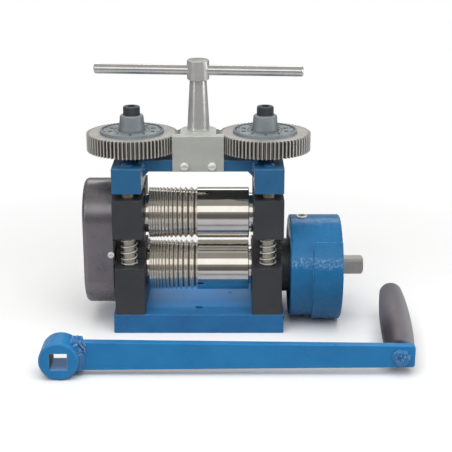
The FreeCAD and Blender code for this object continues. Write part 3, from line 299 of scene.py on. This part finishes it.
def steel(name, base, dark, roughness, grain=(1, 1, 1), grain_scale=300.0, metallic=1.0, edge=0.0004,
          depth=0.00004):
    """Bare metal with a fine grain along the axis that grain squeezes least."""
    m = Nodes(name)
    cloud = m.noise(45.0, 4.0, 0.6)
    lines = m.noise(grain_scale, 2.0, 0.6, m.mapped(grain))
    tint = m.mix(m.level(cloud, 0.0, 1.0, 0.3, 0.75), colour(dark), colour(base))
    m.put(m.shader, "Base Color", tint)
    m.put(m.shader, "Roughness", m.level(lines, roughness * 0.75, roughness * 1.35, 0.3, 0.7))
    m.set(Metallic=metallic)
    m.put(m.shader, "Normal", m.bump(lines, depth, 0.4, m.rounded(edge)))
    return m.material


def roll_steel(name, axis_z):
    """Polished steel, with painted shade darkening the bottoms of the grooves."""
    m = Nodes(name)
    cloud = m.noise(45.0, 4.0, 0.6)
    lines = m.noise(2.0, 2.0, 0.6, m.mapped((900, 1, 1)))
    parts = m.add("SeparateXYZ", Vector=m.place)
    radius = m.distance(m.math("SUBTRACT", (parts, "Z"), axis_z), (parts, "Y"))
    from_middle = m.math("ABSOLUTE", (parts, "X"))
    face = m.level(from_middle, 1.0, 0.0, ROLL_FACE_END - 0.0004, ROLL_FACE_END - 0.0001)
    flank = m.math("MULTIPLY", face, m.level(radius, 1.0, 0.0, ROLL_RADIUS - 0.0004, ROLL_RADIUS - 0.0001))
    drop = m.math("MULTIPLY", face, m.math("SUBTRACT", ROLL_RADIUS, radius))
    groove = m.level((parts, "X"), SHALLOW_GROOVE, DEEP_GROOVE, -ROLL_FACE_END, 0.0)
    # Painted shade: the deeper a point lies in its groove, the darker it is.
    groove_shade = m.level(m.math("DIVIDE", drop, groove), 0.0, 1.0, 0.4, 0.95)
    tint = m.mix(m.level(cloud, 0.0, 1.0, 0.3, 0.75), colour("d0cdc7"), colour("dddbd6"))
    m.put(m.shader, "Base Color", m.mix(groove_shade, m.mix(flank, tint, colour("f0ece4")), colour("6e6359")))
    m.put(m.shader, "Roughness", m.math("ADD", m.level(lines, 0.05, 0.09, 0.3, 0.7),
                                        m.math("MULTIPLY", flank, 0.07)))
    m.put(m.shader, "Metallic", m.level(flank, 1.0, 0.75))
    m.put(m.shader, "Normal", m.bump(lines, 0.00001, 0.4, m.rounded(0.0002)))
    return m.material


def gear_steel(name, axis_x):
    """Machined wheel: satin faces, bright tooth tips and painted shade in the gaps between them."""
    m = Nodes(name)
    parts = m.add("SeparateXYZ", Vector=m.place)
    radius = m.distance(m.math("SUBTRACT", (parts, "X"), axis_x), (parts, "Y"))
    tip = m.level(radius, 0.0, 1.0, GEAR_TIP_RADIUS - 0.0005, GEAR_TIP_RADIUS - 0.0001)
    flat = m.level(m.math("ABSOLUTE", m.facing("Z")), 0.0, 1.0, 0.6, 0.9)
    cloud = m.noise(60.0, 4.0, 0.6)
    grit = m.noise(700.0, 3.0, 0.6)
    # Painted shade: the gaps between the teeth go dark where the surface is hemmed in.
    gap_shade = m.mix(m.level(m.recess(0.004), 0.0, 1.0, 0.15, 0.75), colour("35332f"), colour("b4b2ac"))
    sides = m.mix(tip, gap_shade, colour("e8e6e0"))
    faces = m.mix(m.level(cloud, 0.0, 1.0, 0.3, 0.7), colour("b2b1ae"), colour("c6c5c2"))
    m.put(m.shader, "Base Color", m.mix(flat, sides, faces))
    m.put(m.shader, "Roughness", m.level(grit, 0.34, 0.52, 0.3, 0.7))
    m.put(m.shader, "Metallic", m.level(flat, 0.85, 0.6))
    m.put(m.shader, "Normal", m.bump(grit, 0.00008, 0.4, m.rounded(0.0003)))
    return m.material


def knurled(name, base, light, axis_x):
    """Black oxide with the fine straight knurl of a cap screw's head round a vertical axis."""
    m = Nodes(name)
    parts = m.add("SeparateXYZ", Vector=m.place)
    turn = m.math("ARCTAN2", (parts, "Y"), m.math("SUBTRACT", (parts, "X"), axis_x))
    ridge = m.math("SINE", m.math("MULTIPLY", turn, float(CAP_KNURLS)))
    upright = m.level(m.math("ABSOLUTE", m.facing("Z")), 1.0, 0.0, 0.2, 0.6)
    broad = m.noise(90.0, 4.0, 0.6)
    tint = m.mix(m.level(broad, 0.0, 1.0, 0.3, 0.7), colour(base), colour(light))
    m.put(m.shader, "Base Color", m.mix(upright, colour("4c5256"), tint))
    m.put(m.shader, "Roughness", m.level(broad, 0.34, 0.5, 0.3, 0.7))
    m.set(Metallic=0.35)
    m.put(m.shader, "Normal", m.bump(m.math("MULTIPLY", ridge, upright), 0.0003, 0.5, m.rounded(0.0004)))
    return m.material


def cast_grey(name, base, dark):
    """Grey casting, with painted shade in its corners."""
    m = Nodes(name)
    cloud = m.noise(70.0, 4.0, 0.6)
    grit = m.noise(900.0, 2.0, 0.6)
    # Painted shade: darker where the surface is hemmed in.
    low = m.level(m.recess(0.002), 0.0, 1.0, 0.3, 0.85)
    tint = m.mix(m.level(cloud, 0.0, 1.0, 0.3, 0.7), colour(dark), colour(base))
    m.put(m.shader, "Base Color", m.mix(low, colour("6a6d6b"), tint))
    m.put(m.shader, "Roughness", m.level(grit, 0.42, 0.62, 0.3, 0.7))
    m.set(Metallic=0.55)
    m.put(m.shader, "Normal", m.bump(grit, 0.00012, 0.5, m.rounded(0.0004)))
    return m.material


def plastic(name, base, light):
    """Moulded grip: a painted highlight lightens its outer side, and it is darker at the near inner
    corner.
    """
    m = Nodes(name)
    broad = m.noise(28.0, 4.0, 0.6)
    grit = m.noise(1100.0, 2.0, 0.5)
    parts = m.add("SeparateXYZ", Vector=m.place)
    middle = m.math("ADD", m.math("MULTIPLY", (parts, "Y"), GRIP_SPLAY), GRIP_AXIS_X)
    side = m.math("SUBTRACT", (parts, "X"), middle)
    tint = m.mix(m.level(broad, 0.0, 1.0, 0.35, 0.7), colour(base), colour(light))
    # Painted highlight: the outer side turns pale.
    tint = m.mix(m.level(side, 0.0, 0.55, 0.001, 0.011), tint, colour("a6a8ac"))
    near = m.level((parts, "Y"), 1.0, 0.0, -0.105, -0.075)
    near_corner_dark = m.math("MULTIPLY", m.level(side, 0.8, 0.0, -0.005, 0.002), near)
    m.put(m.shader, "Base Color", m.mix(near_corner_dark, tint, colour("3c3032")))
    m.put(m.shader, "Roughness", m.level(broad, 0.36, 0.52, 0.3, 0.7))
    m.set(Specular_IOR_Level=0.5)
    m.put(m.shader, "Normal", m.bump(grit, 0.00006, 0.4, m.rounded(0.0006)))
    return m.material


ENAMEL = enamel("frame enamel", "2a78b2", "22659c", "7fb0d6")
YOKE_ENAMEL = enamel("yoke enamel", "32709f", "2b628c", "8fb8d8")
# Painted shade: dark grey on the yoke's downward faces.
UNDERSIDE_SHADE = black_oxide("yoke underside painted shade", "5a5d62", "676a6f", 0.5)
CRANK_ENAMEL = enamel("crank enamel", "2684c0", "1c76b2", "8cc0e2")
DRUM_ENAMEL = drum_enamel("drum enamel")
CHOCK = black_oxide("black oxide blocks", "3c3e42", "46474b", 0.42)
BLACK = black_oxide("black oxide screws", "2a2a2c", "38383a", 0.38)
# Painted shade on the walls of the crank's socket, and a painted blue reflection on its floor.
SOCKET_WALL_SHADE = black_oxide("crank socket painted shade", "2c2a2e", "36343a", 0.5)
SOCKET_FLOOR_REFLECTION = black_oxide("crank socket floor painted reflection", "5e88c4", "6c98d2", 0.4)
COVER = cover_paint("cover paint")
UPPER_ROLL = roll_steel("upper roll steel", UPPER_ROLL_Z)
LOWER_ROLL = roll_steel("lower roll steel", LOWER_ROLL_Z)
GEAR_LEFT = gear_steel("machined left gear", -GEAR_AXIS)
GEAR_RIGHT = gear_steel("machined right gear", GEAR_AXIS)
CAP_LEFT = knurled("left cap screw oxide", "3a3f45", "4a4f54", -GEAR_AXIS)
CAP_RIGHT = knurled("right cap screw oxide", "3a3f45", "4a4f54", GEAR_AXIS)
HARD = steel("ground steel", "a8a7a4", "8f8e8b", 0.3)
ZINC = steel("bright zinc", "d6d6d2", "bdbdb8", 0.22, edge=0.0003)
STUD = steel("stud steel", "cfc9ba", "b9b3a4", 0.4, (1, 1, 40), 60.0, metallic=0.55, edge=0.0003)
DOME = steel("bright screw heads", "f4f4f0", "e4e4e0", 0.3, metallic=0.35, edge=0.0006)
WIRE = steel("spring wire", "f0efea", "dcdbd6", 0.3, metallic=0.6, edge=0.0001)
PLATE = steel("zinc plate", "d2d6d0", "c2c6c0", 0.45, metallic=0.6, edge=0.0005)
SPINDLE = steel("turned bright steel", "ececea", "dededc", 0.2, (1, 1, 60), 40.0, metallic=0.68,
                depth=0.00001)
CHROME = steel("bright chrome", "dcdddd", "cdcecf", 0.16, (1, 1, 60), 40.0, metallic=0.85, depth=0.00001)
DULL = steel("dull drive steel", "cac8c5", "b2b0ad", 0.42, (30, 1, 1), 60.0, metallic=0.8)
BRONZE = steel("bearing bronze", "b98d4a", "9c733a", 0.35)
DIAL = cast_grey("dial casting", "a3abb0", "8e969b")
GRIP = plastic("grip plastic", "5a565e", "6c6871")

FINISHES = {
    ENAMEL: ["base", "end_cover"],
    YOKE_ENAMEL: ["top_yoke"],
    CRANK_ENAMEL: ["crank_boss", "crank_arm", "crank_welds"],
    DRUM_ENAMEL: ["reduction_housing"],
    CHOCK: ["lower_chock_left", "lower_chock_right", "upper_chock_left", "upper_chock_right"],
    BLACK: ["pressure_screw_left", "pressure_screw_right", "chock_screws", "end_cover_screws",
            "housing_screws", "plate_screws"],
    COVER: ["gear_cover"],
    UPPER_ROLL: ["upper_roll"],
    LOWER_ROLL: ["lower_roll"],
    GEAR_LEFT: ["adjusting_gear_left"],
    GEAR_RIGHT: ["adjusting_gear_right"],
    CAP_LEFT: ["cap_screw_left"],
    CAP_RIGHT: ["cap_screw_right"],
    HARD: ["thrust_pads", "planet_pins", "planet_carrier", "sun_gear", "ring_gear", "planet_gear_1",
           "planet_gear_2", "planet_gear_3", "upper_timing_gear", "lower_timing_gear", "drive_pinion"],
    ZINC: ["oil_plug", "upper_gear_screw", "lower_gear_screw"],
    STUD: ["tie_studs"],
    DOME: ["cover_screws", "bracket_screws"],
    WIRE: ["lift_spring_front_left", "lift_spring_front_right", "lift_spring_rear_left",
           "lift_spring_rear_right"],
    BRONZE: ["lower_bushes", "upper_bushes", "input_bush", "spindle_bush"],
    DIAL: ["dial_left", "dial_right"],
    PLATE: ["cover_plate", "handle_bracket"],
    SPINDLE: ["handle_spindle"],
    CHROME: ["handle_bar"],
    DULL: ["input_shaft", "grip_spindle"],
    GRIP: ["crank_grip"],
}
for finish, names in FINISHES.items():
    for name in names:
        node = NODES[name]
        for index in range(max(1, len(node.material_slots))):
            if not node.material_slots:
                node.data.materials.append(finish)
            node.material_slots[index].material = finish

# Pieces that shiny metal doesn't show, because the photograph has no reflection of them
for name in ("crank_boss", "crank_arm", "spindle_bush"):
    NODES[name].visible_glossy = False

# Detail pieces


def piece(name, mesh, finish, body, smooth=40.0):
    """A finished Blender object from a bmesh in metres."""
    data = bpy.data.meshes.new(name)
    bmesh.ops.recalc_face_normals(mesh, faces=mesh.faces)
    for face in mesh.faces:
        face.smooth = True
    for edge in mesh.edges:
        if len(edge.link_faces) == 2 and edge.calc_face_angle(0.0) > math.radians(smooth):
            edge.smooth = False
    mesh.to_mesh(data)
    mesh.free()
    data.materials.append(finish)
    made = bpy.data.objects.new(name, data)
    bpy.context.scene.collection.objects.link(made)
    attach(made, body)
    return made


def turned(mesh, profile, place, steps=96):
    """Adds a closed solid of revolution: profile is a loop of (radius, height) about a vertical axis."""
    rings = []
    for step in range(steps):
        turn = 2 * math.pi * step / steps
        ring = []
        for radius, height in profile:
            offset = Vector((radius * math.cos(turn), radius * math.sin(turn), height))
            ring.append(mesh.verts.new(Vector(place) + offset))
        rings.append(ring)
    count = len(profile)
    for step in range(steps):
        near, far = rings[step], rings[(step + 1) % steps]
        for index in range(count):
            after = (index + 1) % count
            if profile[index][0] == 0 and profile[after][0] == 0:
                continue
            mesh.faces.new([near[index], far[index], far[after], near[after]])
    bmesh.ops.remove_doubles(mesh, verts=mesh.verts, dist=1e-7)


def bar(mesh, matrix, size, crown=0.3):
    """Adds a raised bar with a narrower top, its middle on the matrix's place."""
    half = [v / 2 for v in size]
    low = [(-half[0], -half[1]), (half[0], -half[1]), (half[0], half[1]), (-half[0], half[1])]
    inset = crown * min(half[0], half[1])
    rows = []
    for height, shrink in ((0, 0), (size[2] * 0.7, 0), (size[2], inset)):
        row = []
        for x, y in low:
            spot = Vector((x - math.copysign(shrink, x), y - math.copysign(shrink, y), height))
            row.append(mesh.verts.new(matrix @ spot))
        rows.append(row)
    mesh.faces.new(rows[0])
    mesh.faces.new(rows[-1])
    for lower, upper in zip(rows, rows[1:]):
        for index in range(4):
            after = (index + 1) % 4
            mesh.faces.new([lower[index], lower[after], upper[after], upper[index]])


def digit(mesh, text, matrix, size, height):
    """Adds raised lettering, used for plain dial numbers only."""
    curve = bpy.data.curves.new("digit", "FONT")
    curve.body = text
    curve.size = size
    curve.extrude = height / 2
    curve.bevel_depth = height / 6
    curve.resolution_u = 4
    curve.align_x = "CENTER"
    curve.align_y = "CENTER"
    source = bpy.data.objects.new("digit", curve)
    bpy.context.scene.collection.objects.link(source)
    made = bpy.data.meshes.new_from_object(source.evaluated_get(bpy.context.evaluated_depsgraph_get()))
    made.transform(matrix @ Matrix.Translation((0, 0, height / 2)))
    mesh.from_mesh(made)
    bpy.data.objects.remove(source)
    bpy.data.curves.remove(curve)
    bpy.data.meshes.remove(made)


def lumpy_bead(mesh, path, radius, seed, ripple=0.35, rough=0.5, steps=14):
    """Adds a weld bead along a path: overlapping ripples with uneven sides and closed round ends."""
    points = [Vector(p) for p in path]
    dense = []
    for start, end in zip(points, points[1:]):
        parts = max(2, int((end - start).length / (radius * 0.18)))
        dense += [start.lerp(end, k / parts) for k in range(parts)]
    dense.append(points[-1])
    rings = []
    length = 0.0
    for index, centre in enumerate(dense):
        ahead = dense[min(index + 1, len(dense) - 1)] - dense[max(index - 1, 0)]
        ahead.normalize()
        side = ahead.cross(Vector((0, 1, 0)))
        if side.length < 0.1:
            side = ahead.cross(Vector((1, 0, 0)))
        side.normalize()
        up = side.cross(ahead)
        if index:
            length += (centre - dense[index - 1]).length
        end = min(index, len(dense) - 1 - index) / (len(dense) * 0.12)
        taper = math.sqrt(max(0.02, 1 - (1 - min(1.0, end)) ** 2))
        wave = 1 + ripple * (abs(math.sin(length / radius * 2.1)) - 0.6)
        ring = []
        for step in range(steps):
            turn = 2 * math.pi * step / steps
            way = side * math.cos(turn) + up * math.sin(turn)
            bump = noise.noise(centre * 420 + way * 1.6 + Vector((seed, 0, 0)))
            ring.append(mesh.verts.new(centre + way * radius * taper * (wave + rough * bump)))
        rings.append(ring)
    for near, far in zip(rings, rings[1:]):
        for step in range(steps):
            after = (step + 1) % steps
            mesh.faces.new([near[step], near[after], far[after], far[step]])
    mesh.faces.new(rings[0])
    mesh.faces.new(rings[-1])


def dial_marks(side, word):
    """Raised numbers, marks and rings on a dial's face."""
    axis = side * GEAR_AXIS
    middle = Matrix.Translation((axis, 0, DIAL_FACE_Z))
    mesh = bmesh.new()
    for mark in range(DIAL_MARKS_ROUND):
        turn = Matrix.Rotation(-math.pi / 2 - 2 * math.pi * mark / DIAL_MARKS_ROUND, 4, "Z")
        long = mark % 4 == 0
        length = 0.0034 if long else 0.0018
        spot = middle @ turn @ Matrix.Translation((DIAL_MARK_REACH - length / 2, 0, -0.0001))
        bar(mesh, spot, (length, 0.0008 if long else 0.0005, 0.0006))
    for number in range(DIAL_NUMBERS_ROUND):
        turn = Matrix.Rotation(-math.pi / 2 - 2 * math.pi * number / DIAL_NUMBERS_ROUND, 4, "Z")
        spot = middle @ turn @ Matrix.Translation((DIAL_NUMBER_REACH, 0, -0.0001))
        digit(mesh, str(number), spot @ Matrix.Rotation(math.pi / 2, 4, "Z"), 0.0060, 0.0007)
    rings = [(0.0170, 0.0176, 0.0004), (0.0128, 0.0142, 0.0011)]
    for inner, outer, rise in rings:
        crest = (inner + outer) / 2
        profile = [(inner, -0.0001), (outer, -0.0001), (outer, rise * 0.4), (crest, rise),
                   (inner, rise * 0.9)]
        turned(mesh, profile, (axis, 0, DIAL_FACE_Z))
    piece("dial_marks_" + word, mesh, DIAL_MARKS, word + "_screw_set", 30)


def stud_paint():
    """Domes of enamel over the ends of the tie studs, on the top yoke."""
    profile = [(0.0064, -0.0001), (0.0055, 0.0002), (0.0048, 0.0009), (0.0036, 0.0014), (0.0018, 0.0017),
               (0.0, 0.00175), (0.0, -0.0001)]
    mesh = bmesh.new()
    for x in (-STUD_X, STUD_X):
        for y in (-STUD_Y, STUD_Y):
            turned(mesh, profile, (x, y, YOKE_BLOCK_TOP), steps=40)
    for vert in mesh.verts:
        if vert.co.z > YOKE_BLOCK_TOP + 0.0004:
            wobble = noise.noise(vert.co * 700)
            vert.co += Vector((0.0003 * wobble, 0.0003 * wobble, 0.0002 * wobble))
    piece("stud_paint", mesh, WELD_ENAMEL, "frame", 50)


def yoke_welds():
    """Painted fillet beads where the flat bar meets the two blocks."""
    mesh = bmesh.new()
    for side in (-1, 1):
        x = side * 0.0546
        for y in (-0.0243, 0.0243):
            lumpy_bead(mesh, [(x, y, 0.1604), (x, y, 0.1702)], 0.0028, 3 + side, 0.2, 0.3)
        path = [(x * 1.008, -0.0236, 0.1706), (x * 1.008, 0.0236, 0.1706)]
        lumpy_bead(mesh, path, 0.0011, 7 + side, 0.3)
    piece("yoke_welds", mesh, WELD_ENAMEL, "frame", 70)


def crank_beads():
    """Painted welds between the crank's boss and arm: lumpy at the top, smooth below."""
    mesh = bmesh.new()
    for face_y, seed in ((CRANK_FRONT_Y, 1.0), (CRANK_BACK_Y, 5.0)):
        path = [(-0.1118, face_y, 0.0325), (-0.1085, face_y, 0.0275), (-0.1072, face_y, 0.0215)]
        lumpy_bead(mesh, path, 0.0036, seed, 0.2, 0.3)
        path = [(-0.1080, face_y, 0.0240), (-0.1068, face_y, 0.0180), (-0.1078, face_y, 0.0110),
                (-0.1112, face_y, 0.0058)]
        lumpy_bead(mesh, path, 0.0042, seed + 4, 0.05, 0.1)
        path = [(-0.1145, face_y, 0.0336), (-0.1085, face_y, 0.0336), (-0.1036, face_y, 0.0330)]
        lumpy_bead(mesh, path, 0.0025, seed + 9, 0.2, 0.3)
        path = [(-0.1125, face_y, 0.0052), (-0.1085, face_y, 0.0052), (-0.1040, face_y, 0.0060)]
        lumpy_bead(mesh, path, 0.0020, seed + 14, 0.1, 0.2)
    blobs = [(-0.1062, 0.0300, 0.0026), (-0.1068, 0.0254, 0.0024), (-0.1036, 0.0272, 0.0023),
             (-0.1030, 0.0306, 0.0019), (-0.1034, 0.0238, 0.0016)]
    for index, (x, z, size) in enumerate(blobs):
        path = [(x, CRANK_FRONT_Y - 0.0002, z), (x + 0.0022, CRANK_FRONT_Y + 0.0002, z + 0.0009)]
        lumpy_bead(mesh, path, size, 2.0 + index, 0.15, 0.2)
    made = piece("crank_beads", mesh, WELD_ENAMEL, "crank", 70)
    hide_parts("crank_welds")


def spindle_bead():
    """Painted weld over the head of the grip's spindle."""
    mesh = bmesh.new()
    centre = Vector(SPINDLE_HEAD)
    path = []
    for step in range(21):
        turn = 2 * math.pi * step / 20 + 0.6
        reach = 0.0056 * (1 + 0.1 * math.sin(3 * turn))
        path.append(centre + Vector((reach * math.cos(turn), 0, reach * math.sin(turn))))
    lumpy_bead(mesh, path, 0.0027, 11.0, 0.12, 0.3)
    for index, (x, z) in enumerate(((-0.0022, 0.0024), (0.0016, 0.0006), (-0.0006, -0.0028))):
        place = centre + Vector((x, -0.0003, z))
        lumpy_bead(mesh, [place, place + Vector((0.0026, 0, 0.0006))], 0.0024, 20.0 + index, 0.1, 0.2)
    piece("spindle_bead", mesh, WELD_ENAMEL, "crank", 70)


def plug_washer():
    """Bright sealing washer round the oil plug, bedded on the crown of the drum."""
    mesh = bmesh.new()
    profile = [(0.0041, 0.0004), (0.0041, 0.0011), (0.0045, 0.0013), (0.0053, 0.0013), (0.0057, 0.0010),
               (0.0057, -0.0001), (0.0050, -0.0001)]
    turned(mesh, profile, PLUG_PLACE, steps=48)
    piece("plug_washer", mesh, DOME, "frame", 40)


def second_finish(name, finish, chosen):
    """Gives the faces of a node that chosen picks another finish."""
    node = NODES[name]
    node.data.materials.append(finish)
    index = len(node.material_slots) - 1
    for face in node.data.polygons:
        if chosen(face):
            face.material_index = index


def yoke_inner_side(face):
    return abs(abs(face.center.x) - YOKE_BLOCK_INNER_X) < 0.0004 and abs(face.normal.x) > 0.98


def yoke_underside(face):
    return face.normal.z < -0.9


def crank_socket_wall(face):
    reach = max(abs(face.center.x - SOCKET_X), abs(face.center.z - SOCKET_Z))
    return reach < SOCKET_REACH and abs(face.normal.y) < 0.2


def crank_socket_floor(face):
    return crank_socket_wall(face) and face.normal.z > 0.9


def spindle_head(face):
    return face.center.y < -0.1455


DIAL_MARKS = cast_grey("dial marks", "7d8488", "6e7579")
WELD_ENAMEL = cast_enamel("weld enamel", "2478b4", "1b659e", "2f86c2")
MACHINED = steel("machined bare faces", "c9c9c6", "b4b3b0", 0.35, (1, 30, 1), 60.0, metallic=0.8)
for side, word in ((-1, "left"), (1, "right")):
    dial_marks(side, word)
stud_paint()
yoke_welds()
crank_beads()
spindle_bead()
plug_washer()
second_finish("top_yoke", MACHINED, yoke_inner_side)
# The yoke's downward faces get dark grey painted shade.
second_finish("top_yoke", UNDERSIDE_SHADE, yoke_underside)
# The socket's walls get painted shade and its floor a painted blue reflection.
second_finish("crank_boss", SOCKET_WALL_SHADE, crank_socket_wall)
second_finish("crank_boss", SOCKET_FLOOR_REFLECTION, crank_socket_floor)
second_finish("grip_spindle", CRANK_ENAMEL, spindle_head)

# Floor, light and camera

PICTURE_PIXELS = 452
FOCAL_PIXELS = 1141.4
SENSOR_WIDTH = 36.0
EYE_PLACE = (0.0271, -1.100, 0.4538)
EYE_PITCH = 17.98
MIDDLE = (0, 0, 0.1)


def softbox(name, place, target, width, height, power, mirrored=True, spread=180.0):
    """A rectangular lamp that points at target. When it isn't mirrored, shiny metal doesn't show it."""
    data = bpy.data.lights.new(name, "AREA")
    data.shape = "RECTANGLE"
    data.size = width
    data.size_y = height
    data.energy = power
    data.spread = math.radians(spread)
    lamp = bpy.data.objects.new(name, data)
    lamp.location = place
    lamp.rotation_euler = (Vector(target) - Vector(place)).to_track_quat("-Z", "Y").to_euler()
    lamp.visible_glossy = mirrored
    lamp.visible_camera = False
    bpy.context.scene.collection.objects.link(lamp)


def floor():
    """A sheet of white paper that keeps the shadow. Far from the object it fades into the backdrop."""
    mesh = bmesh.new()
    bmesh.ops.create_grid(mesh, x_segments=8, y_segments=8, size=1.0)
    for v in mesh.verts:
        v.co.x = 0.4 + 1.1 * v.co.x
        v.co.y = 0.27 + 0.63 * v.co.y
    data = bpy.data.meshes.new("studio_floor")
    mesh.to_mesh(data)
    mesh.free()
    sheet = bpy.data.objects.new("studio_floor", data)
    sheet.location.z = -0.0003
    bpy.context.scene.collection.objects.link(sheet)
    m = Nodes("studio floor paper")
    seen = m.add("LightPath")
    fibre = m.level(m.noise(900.0), 0.985, 1.0, 0.3, 0.7)
    lit = m.mix((seen, "Is Glossy Ray"), (0.52, 0.51, 0.51, 1), (0.62, 0.61, 0.64, 1))
    shown = m.mix((seen, "Is Camera Ray"), lit, (1.0, 1.0, 1.0, 1))
    m.put(m.shader, "Base Color", m.mix(1.0, shown, fibre, "MULTIPLY"))
    m.set(Roughness=0.9, Specular_IOR_Level=0.0)
    away = m.add("VectorMath", {"operation": "LENGTH"})
    m.put(away, 0, m.place)
    far = m.level((away, "Value"), 0.0, 1.0, 0.28, 0.5)
    blend = m.add("MixShader")
    m.put(blend, 0, m.math("MULTIPLY", far, (seen, "Is Camera Ray")))
    white = m.add("Emission", Color=(1, 1, 1, 1), Strength=1.0)
    m.tree.links.new(m.shader.outputs[0], blend.inputs[1])
    m.tree.links.new(white.outputs[0], blend.inputs[2])
    output = next(n for n in m.tree.nodes if n.type == "OUTPUT_MATERIAL")
    m.tree.links.new(blend.outputs[0], output.inputs["Surface"])
    data.materials.append(m.material)


def world():
    """White to the camera, a dim room to the light, and a room with a paler floor and ceiling to metal."""
    sky = bpy.data.worlds.new("studio")
    bpy.context.scene.world = sky
    sky.use_nodes = True
    tree = sky.node_tree
    link = tree.links.new
    place = tree.nodes.new("ShaderNodeTexCoord")
    parts = tree.nodes.new("ShaderNodeSeparateXYZ")
    walls = tree.nodes.new("ShaderNodeValToRGB")
    stops = walls.color_ramp.elements
    levels = [(0.375, (0.52, 0.51, 0.5)), (0.4, (0.14, 0.135, 0.13)), (0.54, (0.15, 0.145, 0.14)),
              (0.65, (0.36, 0.34, 0.3)), (0.98, (0.37, 0.35, 0.32))]
    for index, (position, tone) in enumerate(levels):
        stop = stops[index] if index < 2 else stops.new(position)
        stop.position = position
        stop.color = (*tone, 1)
    height = tree.nodes.new("ShaderNodeMath")
    height.operation = "MULTIPLY_ADD"
    height.inputs[1].default_value = 0.5
    height.inputs[2].default_value = 0.5
    seen = tree.nodes.new("ShaderNodeLightPath")
    link(place.outputs["Generated"], parts.inputs[0])
    link(parts.outputs["Z"], height.inputs[0])
    link(height.outputs[0], walls.inputs["Fac"])
    inner = tree.nodes.new("ShaderNodeMix")
    inner.data_type = "RGBA"
    inner.inputs[6].default_value = (0.16, 0.157, 0.152, 1)
    link(seen.outputs["Is Glossy Ray"], inner.inputs[0])
    link(walls.outputs["Color"], inner.inputs[7])
    outer = tree.nodes.new("ShaderNodeMix")
    outer.data_type = "RGBA"
    outer.inputs[7].default_value = (1, 1, 1, 1)
    link(seen.outputs["Is Camera Ray"], outer.inputs[0])
    link(inner.outputs[2], outer.inputs[6])
    link(outer.outputs[2], tree.nodes["Background"].inputs["Color"])


def camera():
    data = bpy.data.cameras.new("camera")
    data.sensor_width = SENSOR_WIDTH
    data.sensor_fit = "HORIZONTAL"
    data.lens = FOCAL_PIXELS / PICTURE_PIXELS * SENSOR_WIDTH
    data.clip_end = 50.0
    eye = bpy.data.objects.new("camera", data)
    eye.location = EYE_PLACE
    eye.rotation_euler = (math.radians(90 - EYE_PITCH), 0, 0)
    bpy.context.scene.collection.objects.link(eye)
    bpy.context.scene.camera = eye


floor()
world()
camera()
softbox("under the rolls", (0.0, 0.16, 0.085), (0, 0.025, 0.022), 0.09, 0.01, 0.03, mirrored=False,
        spread=36.0)
softbox("overhead", (0.0, -0.5, 1.4), MIDDLE, 1.6, 1.6, 20.0, mirrored=False)
softbox("front", (0.1, -1.5, 1.03), MIDDLE, 2.6, 0.85, 7.2)
softbox("right", (1.5, -0.3, 0.5), MIDDLE, 0.9, 0.9, 5.0)
softbox("left", (-1.2, -0.9, 0.6), MIDDLE, 0.3, 1.0, 3.0)
softbox("back", (0.0, 1.6, 1.5), MIDDLE, 1.6, 0.8, 8.0)
softbox("back low", (0.0, 1.6, 0.16), MIDDLE, 2.4, 0.2, 1.2)

bpy.context.scene.view_settings.view_transform = "Standard"
